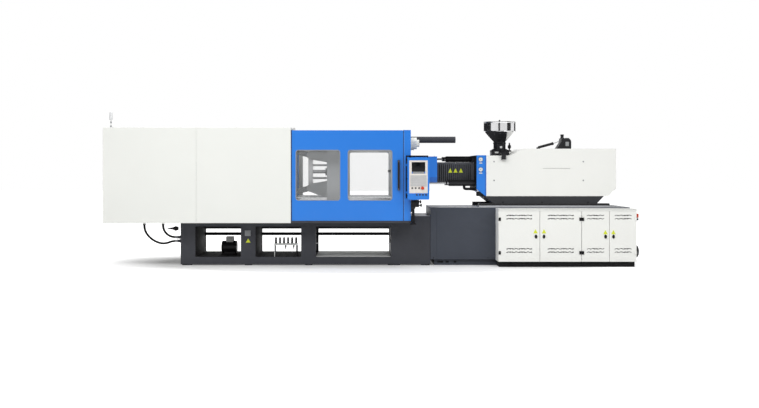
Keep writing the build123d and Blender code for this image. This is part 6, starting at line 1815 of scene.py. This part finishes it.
def studio_card(name, mesh):
    """A black card that shows in reflections alone."""
    card = in_scene(name, mesh_data(name, mesh))
    card.data.materials.append(Finish(name, CARD_BLACK, 1.0, specular=0).material)
    for ray in ("camera", "diffuse", "transmission", "volume_scatter", "shadow"):
        setattr(card, "visible_" + ray, False)


def make_cards():
    """Upright black cards far round the hopper and a low one under its cone, for the bands in its polish."""
    middle = at(centre("hopper")[0], 0, 0)
    for n, (start, end) in enumerate(CARDS):
        mesh = bmesh.new()
        low, high = [], []
        for turn in [radians(angle) for angle in spread(start, end, CARD_STEPS + 1)]:
            x = middle.x + CARD_R * sin(turn)
            y = middle.y - CARD_R * cos(turn)
            low.append(mesh.verts.new((x, y, CARD_LOW)))
            high.append(mesh.verts.new((x, y, CARD_HIGH)))
        for step in range(CARD_STEPS):
            mesh.faces.new((low[step], low[step + 1], high[step + 1], high[step]))
        studio_card(f"card_{n}", mesh)
    mesh = bmesh.new()
    mesh.faces.new([mesh.verts.new((middle.x + x, middle.y + y, LOW_CARD_Z)) for x, y in LOW_CARD])
    studio_card("card_low", mesh)


# The machine

make_camera()
make_world()
make_floor()
make_lamps()

white = powder_coat("cover_white", (0.86, 0.87, 0.83))
cabinet_white = powder_coat("cabinet_white", (0.88, 0.885, 0.85))
blue = powder_coat("guard_blue", (0.016, 0.200, 0.72), 0.36, 0.06)
# A darker blue: painted shade on the front plate's folded edge; also used for the band along the foot of the
# purge door.
blue_shade = powder_coat("guard_blue_shade", (0.020, 0.140, 0.52), 0.42, 0.06)
# A light blue painted highlight for the fixed guard's edge.
blue_painted_highlight = powder_coat("guard_blue_painted_highlight", (0.22, 0.46, 0.86), 0.4, 0.05)
dark = machine_paint("frame_dark", (0.051, 0.053, 0.062))
sled_dark = machine_paint("sled_dark", (0.036, 0.037, 0.041))
slate = machine_paint("base_slate", (0.056, 0.063, 0.080), 0.45, 0.08)
# Pale grey painted reflection for the tops of the bases; the rail beds are drawn in it too.
deck_reflection_grey = machine_paint("deck_painted_reflection_grey", (0.50, 0.51, 0.53), 0.4, 0.08)
grey = machine_paint("platen_grey", (0.42, 0.43, 0.44), 0.45, 0.1)
black = machine_paint("black_metal", (0.018, 0.018, 0.020), 0.4, 0.2, 0.002)
grey_metal = machine_paint("grey_metal", (0.30, 0.31, 0.32), 0.4, 0.1, 0.002)
plastic = moulded_plastic("black_plastic", (0.014, 0.014, 0.015), 0.35)
cream = moulded_plastic("panel_cream", (0.80, 0.76, 0.71), 0.45)
keypad = moulded_plastic("keypad_grey", (0.54, 0.54, 0.54), 0.5)
strip = moulded_plastic("panel_strip_grey", (0.26, 0.27, 0.28), 0.5)
label = moulded_plastic("plate_pale", (0.62, 0.63, 0.62), 0.5, 0.04)
dial = moulded_plastic("dial_white", (0.82, 0.82, 0.80), 0.4, 0.03)
yellow = moulded_plastic("plate_yellow", (0.68, 0.76, 0.03), 0.45, 0.04)
red = moulded_plastic("red_plastic", (0.64, 0.050, 0.010), 0.28, 0.04)
lens = moulded_plastic("lamp_lens_clear", (0.80, 0.81, 0.82), 0.25, 0.04)
pole = moulded_plastic("lamp_pole_white", (0.86, 0.87, 0.86), 0.4, 0.05)
screen = screen_glass("screen_black", (0.005, 0.006, 0.007), 0.2)
rubber = hose_rubber("hose_rubber", (0.016, 0.016, 0.016))
lip_rubber = hose_rubber("lip_rubber", (0.05, 0.05, 0.05))
gasket = moulded_plastic("gasket_grey", (0.30, 0.32, 0.34), 0.6)
steel = turned_steel("steel", (0.46, 0.46, 0.47), 0.34, (1, 12, 12))
chrome = turned_steel("chromed_steel", (0.66, 0.67, 0.68), 0.14, (10, 1, 1))
bright = turned_steel("polished_steel", (0.80, 0.80, 0.81), 0.09, (6, 6, 60))
# Mid grey painted shade for the groove over the cabinet doors and the seams round the roof hatches; the
# switch's seat is drawn in it too.
shadow_grey = machine_paint("seam_shade_grey", (0.30, 0.31, 0.30), 0.6, 0.05)
# Dark navy painted shade for the gap at the fixed guard and along the door's left edge.
seam_shade_navy = powder_coat("seam_shade_navy", (0.004, 0.022, 0.09), 0.5)
# Pale grey painted shade for the gap under the carriage cover's finger recess.
seam_shade_pale = machine_paint("seam_shade_pale", (0.52, 0.52, 0.51), 0.6, 0.05)
flat_black = machine_paint("flat_black", (0.011, 0.011, 0.012), 0.75, 0.2, 0.002)
burnt = machine_paint("heater_band", (0.030, 0.030, 0.032), 0.4, 0.2)
drab = machine_paint("heater_cover", (0.076, 0.079, 0.089), 0.45, 0.08, 0.001)
tray_sheet = zinc_sheet("tray_zinc", (0.80, 0.81, 0.82), 0.5)
castings = cast_metal("cast_link", (0.30, 0.31, 0.32))
zinc = zinc_sheet("zinc_sheet", (0.56, 0.57, 0.59))
pane = clear_sheet("pane_clear", (0.80, 0.82, 0.82), 0.07)

make_hose("long_hose_tube", "hose_long", LONG_HOSE, rubber)
make_hose("short_hose_tube", "hose_short", SHORT_HOSE, rubber)

dress(white, "clamp_end_cover", "toggle_cover", "tie_bar_nuts")
dress(cabinet_white, "cabinet_shell", *DOOR_NODES, "carriage_cover")
dress(blue, "front_door", "rear_door", "fixed_guards", "nozzle_guard", "hmi_housing", "carriage_front_panel")
dress(dark, "clamp_base_frame", "clamp_cylinder", "safety_bar_sleeve", "door_tracks")
dress(sled_dark, "carriage_frame")
dress(slate, "injection_base")
dress(grey, "fixed_platen", "moving_platen", "tailstock_platen")
dress(steel, "ejector_plate", "crosshead", "screw")
dress(burnt, "barrel", "injection_rails")
dress(drab, "barrel_heat_cover")
dress(chrome, "tie_bars", "safety_bar", "traverse_rods")
dress(castings, "rear_link_upper", "rear_link_lower", "front_link_upper", "front_link_lower",
      "short_link_upper", "short_link_lower")
dress(black, "hmi_bracket", "traverse_cylinders", "screw_drive", "pump_motor")
dress(plastic, "front_door_handle")
dress(red, "main_switch")
dress(zinc, "electrical_panel")
dress(flat_black, "water_manifold")
dress(pane, "front_door_panes", "rear_door_panes")

make_signal_lamp(lens, pole, grey_metal)
make_door_trim(gasket, plastic)
make_door_lining(label, steel)
make_tie_caps(white)
make_handle_trim(steel, flat_black)
make_guard_seam(seam_shade_navy, blue_painted_highlight)
make_panel_face(cream, keypad, screen, strip)
make_panel_controls(plastic, red, steel)
make_panel_back(flat_black, black)
make_panel_stand(flat_black)
make_nozzle_guard_trim(blue_shade, steel)
make_heat_plates(yellow, steel, flat_black)
make_gauges(steel, dial, plastic, label)
make_front_plate_edges(blue_shade, flat_black)
make_cover_trim(grey_metal, seam_shade_pale, cabinet_white, lip_rubber)
make_sled_bolts(flat_black)
make_rail_beds(deck_reflection_grey)
make_strut(black, chrome)
make_motor(black, steel, grey_metal)
make_cylinders(flat_black, steel, black)
make_hopper(bright, black, steel, label)
make_hopper_lid(bright, plastic)
make_cabinet_doors(flat_black, cabinet_white, yellow, steel, flat_black)
make_cabinet_trim(flat_black, shadow_grey, red, steel)
make_cowl(plastic, steel)
make_decks(deck_reflection_grey, flat_black, flat_black)
make_leg_plates(grey_metal, yellow)
make_feet(black, steel)
make_manifold(flat_black, label)
make_pump_trim(flat_black, dial, steel)
make_hose_fittings(rubber, grey_metal)
make_tray(tray_sheet, flat_black)
make_bay_floor(label)
make_bay_shade_pans_and_lagging(flat_black)
make_cover_header(white)
make_cover_tops(white, shadow_grey, steel, flat_black)
make_platen_trim(steel, black)
make_base_back(slate, steel, flat_black, label)
make_cards()
